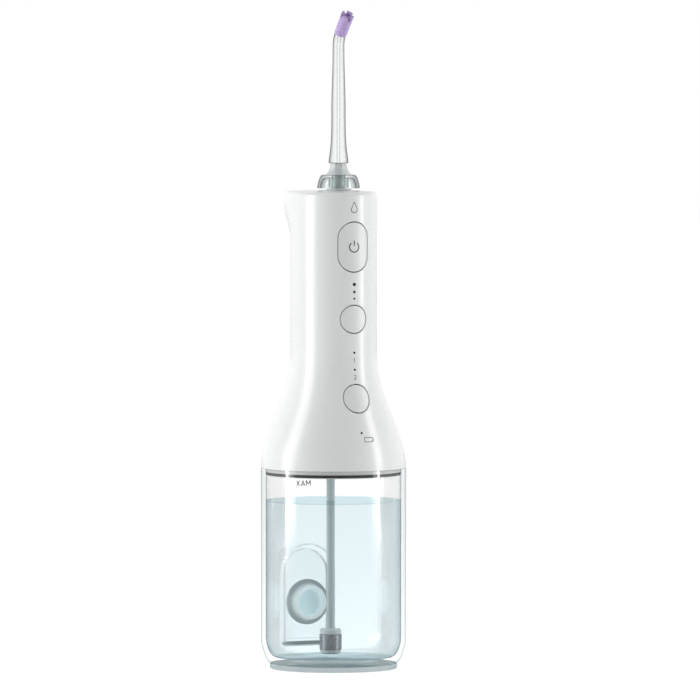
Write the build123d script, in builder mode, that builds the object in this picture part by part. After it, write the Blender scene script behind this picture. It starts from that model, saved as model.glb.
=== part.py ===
from build123d import *

import os
from math import acos, cos, pi, radians, sin, sqrt, tan

# Cordless water flosser: a hand unit that stands on its own clear water tank.
# Frame: millimetres, +Z up, origin on the surface it stands on, on the tank's axis.
# The buttons face -Y and the tank's fill door faces +Y.

os.makedirs("parts", exist_ok=True)

# ---------------------------------------------------------------- driving dimensions
# Clearances
seam_gap = 0.3            # tank rim to housing
moving_gap = 0.3          # between bodies that move past each other
fit_gap = 0.05            # between pieces of one body
pin_gap = 0.06            # radial, pin or shaft in its bore
press_gap = 0.01          # radial, what is pressed or moulded in
button_gap = 0.45         # all round each button

# Tank
tank_radius = 34.0
tank_wall = 2.3
rim_height = 93.6
floor_height = 5.2        # top of the tank's floor
corner_height = 14.0      # where the side wall starts to turn in
foot_inset = 4.4          # of the shell's flat bottom inside the tank's wall
base_inset = 4.2
floor_inset = 4.9         # of the flat floor inside the hollow
base_thickness = 2.4
base_edge_round = 1.0

# Fill door in the back of the tank
pocket_half_width = 11.15
pocket_depth = 5.0        # from the outside of the tank's wall in to the pocket's floor
pocket_bottom = 4.2
pocket_top = 53.9
pocket_backing = 2.2      # thickness of the wall behind and around the pocket
door_thickness = 2.0
hinge_height = 9.6
hinge_pin_radius = 0.8
hinge_barrel_radius = 1.5
pin_reach = 1.2           # of the hinge pin into each side of the pocket
fill_hole_radius = 9.0
fill_hole_height = 29.0
plug_depth = 4.2
plug_wall = 1.7
plug_taper = 0.8
plug_flange_thickness = 1.0
plug_flange_radius = 10.7

# Housing
housing_wall = 2.2
housing_height = 129.6
neck_half_width = 19.7
neck_half_depth = 22.9
flare_height = 57.0
flare_power = 1.17
lip_reach = 7.0           # how far the back lip stands out from the neck
lip_squareness = 0.2
lip_height = 23.0         # height of the part of the housing that holds the lip
lip_rise = 17.0
top_edge_round = 2.0
outline_points = 24

# Buttons: heights of their centres above the housing's bottom edge, as shares of its height
power_button_share = 0.8
power_button_width = 14.5
power_button_length = 22.9
level_button_share = 0.541
mode_button_share = 0.257
round_button_diameter = 12.7
button_travel = 0.8
button_flange_reach = 1.0
button_flange_depth = 2.95
button_flange_thickness = 0.7
button_stem_radius = 1.6

# Indicator lights: share of the housing's height, and diameter
level_lights = ((0.666, 1.7), (0.639, 1.35), (0.615, 1.0))
mode_lights = ((0.421, 1.1), (0.36, 1.1))
battery_light_rise = 17.6
battery_light_diameter = 1.1

# Nozzle
nozzle_y = -5.5
shank_radius = 3.5
shank_length = 16.0
neck_step = 0.3           # of the stem's neck inside its shank
socket_wall = 1.3
skirt_rise = 1.1          # of the skirt above the housing's top
skirt_height = 6.1
skirt_bottom_radius = 9.9
skirt_top_radius = 7.6
skirt_wall = 1.3
sleeve_height = 5.0
sleeve_wall = 0.7         # round the stem's neck at the sleeve's top
sleeve_flare = 2.1        # how much wider the sleeve's foot is
stem_base_radius = 4.67
stem_waist_radius = 3.9
stem_waist_rise = 6.5
stem_top_radius = 2.7
stem_length = 54.4
stem_bend_radius = 9.2
stem_bend_angle = 42.0
bore_radius = 0.8
tip_length = 11.6
tip_base_radius = 2.95
tip_end_radius = 3.05
tip_notch_width = 1.5
tip_notch_depth = 1.7
peg_radius = 1.7
peg_length = 5.5

# Drive
gear_module = 0.5
pinion_teeth = 12
gear_teeth = 36
gear_thickness = 3.0
gear_web = 0.9            # closed bottom of the gear's bore
axle_boss_height = 2.3
pressure_angle = 20.0
tooth_height_share = 0.8
tooth_root_share = 1.05
tooth_backlash = 0.14
motor_radius = 12.0
motor_length = 26.0
motor_y = 4.6
shaft_radius = 1.0
crank_throw = 1.25
crank_pin_radius = 1.2
rod_length = 13.5
rod_thickness = 2.4
rod_drop = 2.0            # from the gear down to the rod
wrist_pin_radius = 0.9

# Pump
pump_bore_radius = 4.6
pump_wall = 2.0
piston_gap = 0.1
piston_length = 7.0
cheek_thickness = 1.3
pump_end_thickness = 1.5
head_length = 4.2
head_half_width = 6.5
valve_x = 3.0
valve_drop = 3.0
valve_ball_radius = 1.15
valve_seat_radius = 1.5
cheek_half_width = 3.0
seal_groove_start = 2.0
seal_groove_width = 1.6

# Base plate and inner frame
plate_thickness = 3.0
spigot_depth = 3.6
spigot_wall = 2.2
elbow_height = 3.4
seal_height = 1.2
seal_drop = 2.0
deck_rise = 15.6          # of the motor deck above the base plate
deck_thickness = 2.5
deck_radius = 20.5
leg_radius = 3.0
leg_places = ((-16.0, -8.0), (16.0, -8.0), (-16.5, 13.0), (16.5, 13.0))
screw_radius = 1.0
screw_head_radius = 1.9
screw_head_height = 1.3
board_half_width = 9.5
board_thickness = 1.6
board_front_y = -13.6
board_top_drop = 19.6     # below the housing's top
board_screw_x = 6.5
board_screw_radius = 0.8
board_screw_inset = 3.6   # from the spine's top, and above the deck
spine_front_y = -9.4
switch_front_y = -16.2
switch_body = 1.6
switch_half = 3.0
spine_thickness = 1.8
spine_half_width = 8.5
spine_top_drop = 21.6

# Battery, an 18650 cell
battery_radius = 9.2
battery_headroom = 12.1   # from the cell's top to the housing's top; leaves 65 mm for the cell
battery_y = 10.7
battery_lift = 5.4        # of the cell above the motor
terminal_height = 1.2
tab_thickness = 0.3

# Hoses and suction filter
seat_drop = 17.1          # of the nozzle seat's bottom below the housing's top
seat_port_rise = 1.2
nipple_bore = 0.6
riser_x = 14.2
inlet_side = -11.4
hose_radius = 1.95
hose_bore = 1.2
suction_y = 3.2
filter_top = 18.2
filter_cap_height = 2.4
filter_weight_height = 7.5
filter_radius = 5.2
filter_bottom = 6.4

# Charging port in the back of the housing
port_rise = 32.9          # above the housing's bottom edge
port_half_width = 6.0
port_half_height = 4.6
port_cover_thickness = 1.9
port_barrel_radius = 0.45
port_barrel_half_width = 2.5
port_barrel_drop = 0.2    # of the hinge axis below the cover

# ---------------------------------------------------------------- sizes that follow
tank_inner_radius = tank_radius - tank_wall
foot_radius = tank_radius - foot_inset
base_radius = tank_radius - base_inset
pocket_floor = tank_radius - pocket_depth
hinge_y = pocket_floor + hinge_barrel_radius + moving_gap
housing_bottom = rim_height + seam_gap
housing_top = housing_bottom + housing_height
power_button_height = housing_bottom + power_button_share * housing_height
level_button_height = housing_bottom + level_button_share * housing_height
mode_button_height = housing_bottom + mode_button_share * housing_height
light_windows = [(housing_bottom + share * housing_height, diameter)
                 for share, diameter in level_lights + mode_lights]
light_windows.append((housing_bottom + battery_light_rise, battery_light_diameter))
skirt_bottom = housing_top + skirt_rise
neck_radius = shank_radius - neck_step
sleeve_top_radius = neck_radius + sleeve_wall
sleeve_bottom_radius = sleeve_top_radius + sleeve_flare
flare_top = housing_bottom + flare_height
lip_start = housing_top - lip_height
plate_top = housing_bottom + plate_thickness
deck_bottom = plate_top + deck_rise
deck_top = deck_bottom + deck_thickness
board_top = housing_top - board_top_drop
board_back_y = board_front_y + board_thickness
spine_top = housing_top - spine_top_drop
board_screw_heights = (deck_top + board_screw_inset, spine_top - board_screw_inset)
battery_bottom = deck_top + motor_length + battery_lift
battery_length = housing_top - battery_headroom - battery_bottom
port_height = housing_bottom + port_rise
port_axis_height = port_height - port_half_height - port_barrel_drop
gear_distance = gear_module * (pinion_teeth + gear_teeth) / 2
gear_y = motor_y - gear_distance
gear_top = deck_bottom - axle_boss_height - moving_gap
gear_bottom = gear_top - gear_thickness
board_bottom = gear_top + moving_gap
rod_top = gear_bottom - rod_drop
rod_bottom = rod_top - rod_thickness
pump_z = rod_bottom + rod_thickness / 2
open_pivot_slack = sqrt(crank_throw**2 + (2 * crank_throw) ** 2) + moving_gap
eye_bore_radius = wrist_pin_radius + open_pivot_slack
eye_radius = eye_bore_radius + 1.2
wrist_y = gear_y + rod_length
piston_front = wrist_y + eye_radius + 2 * crank_throw + moving_gap
pump_mouth = piston_front - crank_throw + moving_gap
piston_back = piston_front + piston_length
pump_chamber_end = piston_back + crank_throw + moving_gap
pump_back = pump_chamber_end + pump_end_thickness
outlet_y = pump_back + head_length / 2
hose_foot = (valve_x, outlet_y, deck_bottom + 0.6)
hose_bend = (riser_x + 1.0, 11.0, deck_top + 9.8)
hose_share = (deck_top - hose_foot[2]) / (hose_bend[2] - hose_foot[2])


# ---------------------------------------------------------------- helpers
def save(piece, name):
    """Label a finished piece and write its STEP file."""
    piece.part.label = name
    export_step(piece.part, f"parts/{name}.step")


def disc(height, radius, x=0.0, y=0.0, bore=0.0):
    """A level round face at a height, with an optional hole."""
    with BuildSketch(Plane.XY.offset(height)) as face:
        with Locations((x, y)):
            Circle(radius)
            if bore:
                Circle(bore, mode=Mode.SUBTRACT)
    return face.sketch


def slab(height, x_low, x_high, y_low, y_high):
    """A level rectangular face at a height, between four sides."""
    with BuildSketch(Plane.XY.offset(height)) as face:
        with Locations(((x_low + x_high) / 2, (y_low + y_high) / 2)):
            Rectangle(x_high - x_low, y_high - y_low)
    return face.sketch


def front_plane(y):
    """The upright plane at y, facing -Y, whose own x and y run along X and Z."""
    return Plane(origin=(0, y, 0), x_dir=(1, 0, 0), z_dir=(0, -1, 0))


def front_disc(y, radius, height, x=0.0):
    """A round face on the upright plane at y."""
    with BuildSketch(front_plane(y)) as face:
        with Locations((x, height)):
            Circle(radius)
    return face.sketch


def stadium(y, width, length, height, grow=0.0):
    """A button's outline on the upright plane at y: round, or a stadium if it is longer."""
    with BuildSketch(front_plane(y)) as face:
        with Locations((0, height)):
            if length > width:
                SlotOverall(length + 2 * grow, width + 2 * grow, rotation=90)
            else:
                Circle(width / 2 + grow)
    return face.sketch


def flare(height):
    """How far the housing has widened from its neck to the tank, from 0 to 1."""
    down = min(max((flare_top - height) / flare_height, 0.0), 1.0)
    return (1 - cos(pi * down**flare_power)) / 2


def lip(height):
    """How far the back lip has grown, from 0 at its start to 1 where it is full."""
    up = min(max((height - lip_start) / lip_rise, 0.0), 1.0)
    return up * up * (3 - 2 * up)


def housing_section(height, inset=0.0):
    """The housing's outline at a height, moved inwards by inset.

    The front half is half an ellipse. The back half reaches further and gets squarer
    as the lip grows.
    """
    half_width = neck_half_width + (tank_radius - neck_half_width) * flare(height) - inset
    front = neck_half_depth + (tank_radius - neck_half_depth) * flare(height) - inset
    back = front + lip_reach * lip(height)
    square = 1 - lip_squareness * lip(height)
    points = []
    for step in range(outline_points):
        turn = 2 * pi * step / outline_points
        x, y = cos(turn), sin(turn)
        if y > 0:
            x = abs(x) ** square * (1 if x > 0 else -1)
            y = y**square
        points.append((half_width * x, (back if y > 0 else front) * y))
    with BuildSketch(Plane.XY.offset(height)) as section:
        with BuildLine():
            Spline(*points, periodic=True)
        make_face()
    return section.sketch


def housing_solid(inset, top):
    """The housing's outside, or its hollow when inset is the wall, with a level top."""
    flare_steps = 9
    lip_steps = 5
    heights = [housing_bottom + flare_height * step / flare_steps for step in range(flare_steps + 1)]
    heights += [flare_top + (lip_start - flare_top) * share for share in (0.33, 0.67)]
    heights += [lip_start + lip_rise * step / lip_steps for step in range(lip_steps + 1)]
    sections = [housing_section(height, inset) for height in heights]
    sections.append(housing_section(top, inset))
    with BuildPart() as solid:
        loft(sections=sections)
    return solid.part


def housing_depth(height):
    """Distance from the axis to the housing's front at a height."""
    return neck_half_depth + (tank_radius - neck_half_depth) * flare(height)


def housing_half_width(height):
    """Distance from the axis to the housing's side at a height."""
    return neck_half_width + (tank_radius - neck_half_width) * flare(height)


def hose_tube(points, radii):
    """A hose along straight runs joined by arcs, with its bore."""
    with BuildPart() as hose:
        with BuildLine() as route:
            FilletPolyline(*points, radius=radii)
        with BuildSketch(Plane(origin=route.line @ 0, z_dir=route.line % 0)):
            Circle(hose_radius)
            Circle(hose_bore, mode=Mode.SUBTRACT)
        sweep()
    return hose


def gear_outline(teeth, height, phase):
    """Involute spur gear outline; each flank is three points of the involute."""
    pitch = gear_module * teeth / 2
    base = pitch * cos(radians(pressure_angle))
    tip = pitch + gear_module * tooth_height_share
    root = pitch - gear_module * tooth_root_share
    angle = radians(pressure_angle)
    half_tooth = (pi * gear_module / 2 - tooth_backlash / 2) / (2 * pitch)
    half_base = half_tooth + tan(angle) - angle
    points = []
    for tooth in range(teeth):
        middle = phase + 2 * pi * tooth / teeth
        flank = []
        for radius in (max(base, root), (pitch + base) / 2, pitch, tip):
            roll = acos(min(base / radius, 1.0))
            flank.append((radius, half_base - (tan(roll) - roll)))
        flank.insert(0, (root, half_base))
        sides = [(radius, middle - turn) for radius, turn in flank]
        sides += [(radius, middle + turn) for radius, turn in reversed(flank)]
        points += [(radius * cos(turn), radius * sin(turn)) for radius, turn in sides]
    with BuildSketch(Plane.XY.offset(height)) as outline:
        with BuildLine():
            Polyline(*points, close=True)
        make_face()
    return outline.sketch


# ---------------------------------------------------------------- tank
def pocket_shape(grow, low, high):
    """The door pocket's prism: an upright arch, grown all round, between two depths."""
    half = pocket_half_width + grow
    arch_centre = pocket_top - pocket_half_width
    with BuildPart() as prism:
        with BuildSketch(front_plane(high)):
            with BuildLine():
                Polyline((-half, arch_centre), (-half, pocket_bottom - grow), (half, pocket_bottom - grow),
                         (half, arch_centre))
                ThreePointArc((half, arch_centre), (0, arch_centre + half), (-half, arch_centre))
            make_face()
        extrude(amount=high - low)
    return prism.part


def tank_form(inset):
    """The tank's outside as a solid, moved inwards by inset."""
    foot = foot_radius - inset
    wall = tank_radius - inset
    with BuildPart() as form:
        with BuildSketch(Plane.XZ):
            with BuildLine():
                Polyline((0, base_thickness + inset), (foot, base_thickness + inset))
                Spline((foot, base_thickness + inset), (wall - 1.6, base_thickness + 4.2 + inset / 2),
                       (wall, corner_height),
                       tangents=((0.9, 0.5), (0, 1)))
                Polyline((wall, corner_height), (wall, rim_height), (0, rim_height),
                         (0, base_thickness + inset))
            make_face()
        revolve(axis=Axis.Z)
    return form.part


with BuildPart() as tank_hollow:
    with BuildSketch(Plane.XZ):
        with BuildLine():
            flat_radius = tank_inner_radius - floor_inset
            Polyline((0, floor_height), (flat_radius, floor_height))
            Spline((flat_radius, floor_height), (tank_inner_radius - 1.4, floor_height + 3.2),
                   (tank_inner_radius, corner_height + 1),
                   tangents=((1, 0.15), (0, 1)))
            Polyline((tank_inner_radius, corner_height + 1), (tank_inner_radius, rim_height + 1),
                     (0, rim_height + 1), (0, floor_height))
        make_face()
    revolve(axis=Axis.Z)

with BuildPart() as pocket_walls:
    add(pocket_shape(pocket_backing, pocket_floor - pocket_backing, tank_radius + 1))
    add(tank_form(tank_wall / 2), mode=Mode.INTERSECT)

with BuildPart() as reservoir_shell:
    add(tank_form(0))
    add(tank_hollow.part, mode=Mode.SUBTRACT)
    add(pocket_walls.part)
    add(pocket_shape(0, pocket_floor, tank_radius + 1), mode=Mode.SUBTRACT)
    extrude(front_disc(tank_radius, fill_hole_radius, fill_hole_height), amount=tank_radius / 2,
            mode=Mode.SUBTRACT)
    with BuildSketch(Plane.YZ.offset(-pocket_half_width - pin_reach - 0.1)):
        with Locations((hinge_y, hinge_height)):
            Circle(hinge_pin_radius + press_gap)
    extrude(amount=2 * (pocket_half_width + pin_reach + 0.1), mode=Mode.SUBTRACT)
save(reservoir_shell, "reservoir_shell")

with BuildPart() as reservoir_base:
    extrude(disc(0, base_radius), amount=base_thickness)
    fillet(reservoir_base.edges().group_by(Axis.Z)[0], radius=base_edge_round)
    fillet(reservoir_base.edges().group_by(Axis.Z)[-1], radius=base_edge_round / 2)
save(reservoir_base, "reservoir_base")

with BuildPart() as door_hinge_pin:
    with BuildSketch(Plane.YZ.offset(-pocket_half_width - pin_reach)):
        with Locations((hinge_y, hinge_height)):
            Circle(hinge_pin_radius)
    extrude(amount=2 * (pocket_half_width + pin_reach))
save(door_hinge_pin, "door_hinge_pin")

# ---------------------------------------------------------------- fill door
door_half_width = pocket_half_width - moving_gap
door_back_y = pocket_floor + plug_flange_thickness + 0.1
with BuildPart() as fill_door:
    add(pocket_shape(-moving_gap, door_back_y, tank_radius + 1))
    extrude(disc(0, tank_radius), amount=rim_height, mode=Mode.INTERSECT)
    with BuildSketch(Plane.XY):
        Circle(tank_radius - door_thickness)
    extrude(amount=rim_height, mode=Mode.SUBTRACT)
    extrude(slab(0, -tank_radius, tank_radius, 0, tank_radius + 1), amount=hinge_height, mode=Mode.SUBTRACT)
    extrude(front_disc(tank_radius - door_thickness + 0.6, plug_flange_radius - 2.5, fill_hole_height),
            amount=-(door_back_y - tank_radius + door_thickness - 0.6))
    extrude(slab(hinge_height, -door_half_width, door_half_width, hinge_y - hinge_barrel_radius + 0.4,
                 tank_radius - 1.9), amount=2.2)
    with BuildSketch(Plane.YZ.offset(-door_half_width)):
        with Locations((hinge_y, hinge_height)):
            Circle(hinge_barrel_radius)
    extrude(amount=2 * door_half_width)
    with BuildSketch(Plane.YZ.offset(-door_half_width)):
        with Locations((hinge_y, hinge_height)):
            Circle(hinge_pin_radius + pin_gap)
    extrude(amount=2 * door_half_width, mode=Mode.SUBTRACT)
save(fill_door, "fill_door")

with BuildPart() as fill_plug:
    with BuildSketch(Plane.XY.offset(fill_hole_height)):
        with BuildLine():
            inner = fill_hole_radius - moving_gap - plug_taper
            Polyline((0, door_back_y), (plug_flange_radius, door_back_y),
                     (plug_flange_radius, pocket_floor + 0.1),
                     (fill_hole_radius - moving_gap, pocket_floor + 0.1), (inner, pocket_floor - plug_depth),
                     (inner - plug_wall, pocket_floor - plug_depth), (inner - plug_wall, pocket_floor - 0.9),
                     (0, pocket_floor - 0.9), close=True)
        make_face()
    revolve(axis=Axis(origin=(0, 0, fill_hole_height), direction=(0, 1, 0)))
save(fill_plug, "fill_plug")

# ---------------------------------------------------------------- housing
outside_solid = housing_solid(0, housing_top - top_edge_round)
hollow_solid = housing_solid(housing_wall, housing_top - housing_wall)
top_edge = housing_section(housing_top - top_edge_round)

with BuildPart() as housing_block:
    add(outside_solid)
    extrude(top_edge, amount=top_edge_round)
    fillet(housing_block.edges().group_by(Axis.Z)[-1], radius=top_edge_round - 0.1)
housing_outside = housing_block.part

round_size = (round_button_diameter, round_button_diameter)
buttons = {
    "power_button": (power_button_width, power_button_length, power_button_height),
    "level_button": (*round_size, level_button_height),
    "mode_button": (*round_size, mode_button_height),
}
socket_radius = shank_radius + pin_gap + socket_wall
dial_radius = socket_radius + socket_wall
port_axis_y = housing_depth(port_axis_height)


def port_outline(y, grow):
    """The charging port's rounded outline on the upright plane at y."""
    with BuildSketch(front_plane(y)) as face:
        with Locations((0, port_height)):
            RectangleRounded(2 * (port_half_width + grow), 2 * (port_half_height + grow), 2.0 + grow)
    return face.sketch


def port_barrel(grow):
    """The barrel of the port cover's hinge, grown all round, along X."""
    half_width = port_barrel_half_width + grow
    with BuildPart() as barrel:
        with BuildSketch(Plane.YZ.offset(-half_width)):
            with Locations((port_axis_y, port_axis_height)):
                Circle(port_barrel_radius + grow)
        extrude(amount=2 * half_width)
    return barrel.part


with BuildPart() as housing:
    add(housing_outside)
    add(hollow_solid, mode=Mode.SUBTRACT)
    for width, length, height in buttons.values():
        extrude(stadium(-neck_half_depth / 2, width, length, height, button_gap), amount=tank_radius,
                mode=Mode.SUBTRACT)
    for height, diameter in light_windows:
        extrude(front_disc(-neck_half_depth / 2, diameter / 2 + fit_gap, height), amount=tank_radius,
                mode=Mode.SUBTRACT)
    extrude(port_outline(neck_half_depth / 2, moving_gap), amount=-tank_radius, mode=Mode.SUBTRACT)
    add(port_barrel(moving_gap), mode=Mode.SUBTRACT)
    extrude(disc(housing_top - 2 * housing_wall, dial_radius + moving_gap, y=nozzle_y),
            amount=3 * housing_wall, mode=Mode.SUBTRACT)
save(housing, "housing")

# ---------------------------------------------------------------- buttons
stem_end_y = switch_front_y - button_travel - 0.1
for name, (width, length, height) in buttons.items():
    with BuildPart() as cap:
        add(housing_outside)
        extrude(stadium(0, width, length, height), amount=tank_radius, mode=Mode.INTERSECT)
        add(housing_outside.moved(Location((0, button_flange_depth + 0.2, 0))), mode=Mode.SUBTRACT)
    with BuildPart() as flange:
        add(housing_outside.moved(Location((0, button_flange_depth, 0))))
        extrude(stadium(0, width, length, height, button_flange_reach), amount=tank_radius,
                mode=Mode.INTERSECT)
        add(housing_outside.moved(Location((0, button_flange_depth + button_flange_thickness, 0))),
            mode=Mode.SUBTRACT)
    with BuildPart() as button:
        add(cap.part)
        add(flange.part)
        inner_face = housing_depth(height) - button_flange_depth - button_flange_thickness / 2
        extrude(front_disc(stem_end_y, button_stem_radius, height), amount=inner_face + stem_end_y)
    save(button, name)

with BuildPart() as light_guides:
    for height, diameter in light_windows:
        extrude(front_disc(-housing_depth(height) + housing_wall + 1.4, diameter / 2, height), amount=6)
    add(housing_outside, mode=Mode.INTERSECT)
save(light_guides, "light_guides")

# ---------------------------------------------------------------- base plate and suction filter
spigot_radius = tank_inner_radius - moving_gap
plate_radius = housing_half_width(plate_top) - housing_wall - fit_gap
with BuildPart() as base_plate:
    extrude(disc(housing_bottom, plate_radius), amount=plate_thickness)
    extrude(disc(housing_bottom - spigot_depth, spigot_radius, bore=spigot_radius - spigot_wall),
            amount=spigot_depth)
    extrude(disc(housing_bottom - seal_drop - seal_height - 0.1, spigot_radius + 1, bore=spigot_radius - 0.7),
            amount=seal_height + 0.2, mode=Mode.SUBTRACT)
    extrude(disc(housing_bottom - spigot_depth, hose_bore - fit_gap, y=suction_y), amount=spigot_depth)
    extrude(slab(plate_top, -3.0, 3.0, suction_y - 3, suction_y + 3), amount=elbow_height)
    extrude(disc(housing_bottom - spigot_depth, hose_bore - nipple_bore, y=suction_y),
            amount=spigot_depth + plate_thickness + 2.1, mode=Mode.SUBTRACT)
    for x, y in leg_places:
        extrude(disc(housing_bottom, screw_radius + 0.1, x, y), amount=plate_thickness, mode=Mode.SUBTRACT)
        extrude(disc(housing_bottom, screw_head_radius + 0.1, x, y), amount=screw_head_height + 0.1,
                mode=Mode.SUBTRACT)
save(base_plate, "base_plate")

with BuildPart() as spigot_seal:
    extrude(disc(housing_bottom - seal_drop - seal_height, spigot_radius + 0.15, bore=spigot_radius - 0.65),
            amount=seal_height)
save(spigot_seal, "spigot_seal")

hose_top = housing_bottom - 0.1
with BuildPart() as suction_tube:
    extrude(disc(filter_top - filter_cap_height + 0.8, hose_radius, y=suction_y, bore=hose_bore),
            amount=hose_top - filter_top + filter_cap_height - 0.8)
save(suction_tube, "suction_tube")

with BuildPart() as tube_collar:
    extrude(disc(housing_bottom - spigot_depth - 1.0, hose_radius + 1.2, y=suction_y,
                 bore=hose_radius + press_gap), amount=spigot_depth + 1.0)
    chamfer(tube_collar.edges().group_by(Axis.Z)[0].sort_by(SortBy.RADIUS)[-1], length=0.5)
save(tube_collar, "tube_collar")

weight_top = filter_top - filter_cap_height
weight_bottom = weight_top - filter_weight_height
with BuildPart() as filter_cap:
    extrude(disc(weight_top, filter_radius - 0.2, y=suction_y), amount=filter_cap_height)
    fillet(filter_cap.edges().group_by(Axis.Z)[-1], radius=0.8)
    extrude(disc(weight_top + 0.8, hose_radius + press_gap, y=suction_y), amount=filter_cap_height,
            mode=Mode.SUBTRACT)
    extrude(disc(weight_top, hose_bore, y=suction_y), amount=filter_cap_height, mode=Mode.SUBTRACT)
save(filter_cap, "filter_cap")

with BuildPart() as filter_weight:
    extrude(disc(weight_bottom, filter_radius, y=suction_y, bore=2.2), amount=filter_weight_height)
    chamfer(filter_weight.edges().group_by(Axis.Z)[0].sort_by(SortBy.RADIUS)[-1], length=0.3)
    chamfer(filter_weight.edges().group_by(Axis.Z)[-1].sort_by(SortBy.RADIUS)[-1], length=0.3)
save(filter_weight, "filter_weight")

with BuildPart() as filter_body:
    with BuildSketch(Plane.XZ.offset(-suction_y)):
        with BuildLine():
            Polyline((1.3, weight_bottom + 2.4), (2.15, weight_bottom + 2.4), (2.15, weight_bottom),
                     (filter_radius - 0.3, weight_bottom), (filter_radius - 0.4, weight_bottom - 1.2),
                     (filter_radius - 1.6, filter_bottom), (1.3, filter_bottom), close=True)
        make_face()
    revolve(axis=Axis(origin=(0, suction_y, 0), direction=(0, 0, 1)))
    with Locations((0, suction_y, filter_bottom)):
        with PolarLocations(filter_radius - 1.6, 6):
            Box(3.0, 0.9, 1.6, mode=Mode.SUBTRACT)
save(filter_body, "filter_body")

# ---------------------------------------------------------------- inner frame
with BuildPart() as inner_frame:
    extrude(disc(deck_bottom, deck_radius), amount=deck_thickness)
    extrude(slab(deck_bottom, -deck_radius, deck_radius, -deck_radius - 1, board_front_y + board_thickness),
            amount=deck_thickness, mode=Mode.SUBTRACT)
    hose_x, hose_y = (low + (high - low) * hose_share for low, high in zip(hose_foot[:2], hose_bend[:2]))
    extrude(disc(deck_bottom, hose_radius + 2 * moving_gap, hose_x, hose_y), amount=deck_thickness,
            mode=Mode.SUBTRACT)
    for x, y in leg_places:
        extrude(disc(plate_top, leg_radius, x, y), amount=deck_rise)
    spine_back_y = spine_front_y + spine_thickness
    spine = slab(deck_top, -spine_half_width, spine_half_width, spine_front_y, spine_back_y)
    extrude(spine, amount=spine_top - deck_top)
    shelf_height = battery_bottom - tab_thickness - 1.8
    extrude(slab(shelf_height, -spine_half_width, spine_half_width, spine_front_y, battery_y), amount=1.8)
    extrude(disc(shelf_height, battery_radius, y=battery_y), amount=1.8)
    for rise in (0.1 * battery_length, 0.77 * battery_length):
        for side in (-1, 1):
            low, high = sorted((side * 2.0, side * 8.0))
            extrude(slab(battery_bottom + rise, low, high, spine_front_y, battery_y - battery_radius + 3.0),
                    amount=2.0)
    extrude(disc(battery_bottom, battery_radius + fit_gap, y=battery_y), amount=battery_length,
            mode=Mode.SUBTRACT)
    extrude(disc(deck_bottom, shaft_radius + 0.5, y=motor_y), amount=deck_thickness, mode=Mode.SUBTRACT)
    extrude(disc(gear_top + moving_gap, 2.6, y=gear_y), amount=axle_boss_height)
    extrude(disc(gear_top, shaft_radius + press_gap, y=gear_y), amount=deck_top - gear_top,
            mode=Mode.SUBTRACT)
    for x, y in leg_places:
        extrude(disc(plate_top, screw_radius + press_gap, x, y), amount=6, mode=Mode.SUBTRACT)
    for height in board_screw_heights:
        for side in (-1, 1):
            extrude(front_disc(spine_front_y, 1.6, height, side * board_screw_x),
                    amount=-board_front_y - board_thickness + spine_front_y)
save(inner_frame, "inner_frame")

with BuildPart() as frame_screws:
    for x, y in leg_places:
        extrude(disc(housing_bottom, screw_head_radius, x, y), amount=screw_head_height)
        extrude(disc(housing_bottom + screw_head_height, screw_radius, x, y),
                amount=plate_thickness - screw_head_height + 5.0)
save(frame_screws, "frame_screws")

# ---------------------------------------------------------------- electrics
with BuildPart() as battery:
    extrude(disc(battery_bottom, battery_radius, y=battery_y), amount=battery_length - terminal_height)
    fillet(battery.edges(), radius=0.5)
    extrude(disc(battery_bottom + battery_length - terminal_height, 2.7, y=battery_y), amount=terminal_height)
save(battery, "battery")

with BuildPart() as battery_tabs:
    for height in (battery_bottom - tab_thickness, battery_bottom + battery_length):
        extrude(slab(height, -2.5, 2.5, battery_y - 7.0, battery_y + 2.5), amount=tab_thickness)
save(battery_tabs, "battery_tabs")

with BuildPart() as motor:
    extrude(disc(deck_top, motor_radius, y=motor_y), amount=motor_length)
    fillet(motor.edges(), radius=1.0)
    extrude(disc(deck_top + motor_length, 3.0, y=motor_y), amount=1.5)
    extrude(disc(deck_top - 0.8, shaft_radius + 0.5 - fit_gap, y=motor_y), amount=0.8)
save(motor, "motor")

with BuildPart() as circuit_board:
    extrude(slab(board_bottom, -board_half_width, board_half_width, board_front_y,
                 board_front_y + board_thickness), amount=board_top - board_bottom)
    for height in board_screw_heights:
        for side in (-1, 1):
            extrude(front_disc(board_back_y, board_screw_radius + fit_gap, height, side * board_screw_x),
                    amount=board_thickness, mode=Mode.SUBTRACT)
    extrude(slab(mode_button_height + 4.5, -6.0, 2.0, board_front_y - 1.2, board_front_y), amount=4.0)
    extrude(slab(power_button_height - 12.0, -4.0, 4.0, board_front_y - 1.0, board_front_y), amount=3.0)
save(circuit_board, "circuit_board")

with BuildPart() as board_screws:
    for height in board_screw_heights:
        for side in (-1, 1):
            extrude(front_disc(board_front_y, 1.5, height, side * board_screw_x), amount=1.0)
            extrude(front_disc(board_back_y, board_screw_radius, height, side * board_screw_x),
                    amount=board_thickness)
save(board_screws, "board_screws")

with BuildPart() as tact_switches:
    for width, length, height in buttons.values():
        body = slab(height - switch_half, -switch_half, switch_half, board_front_y - switch_body, board_front_y)
        extrude(body, amount=2 * switch_half)
        extrude(front_disc(board_front_y - switch_body, 1.7, height),
                amount=-switch_front_y + board_front_y - switch_body)
save(tact_switches, "tact_switches")

with BuildPart() as indicator_leds:
    for height, diameter in light_windows:
        extrude(slab(height - 0.8, -0.8, 0.8, board_front_y - 0.6, board_front_y), amount=1.6)
save(indicator_leds, "indicator_leds")

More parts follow.
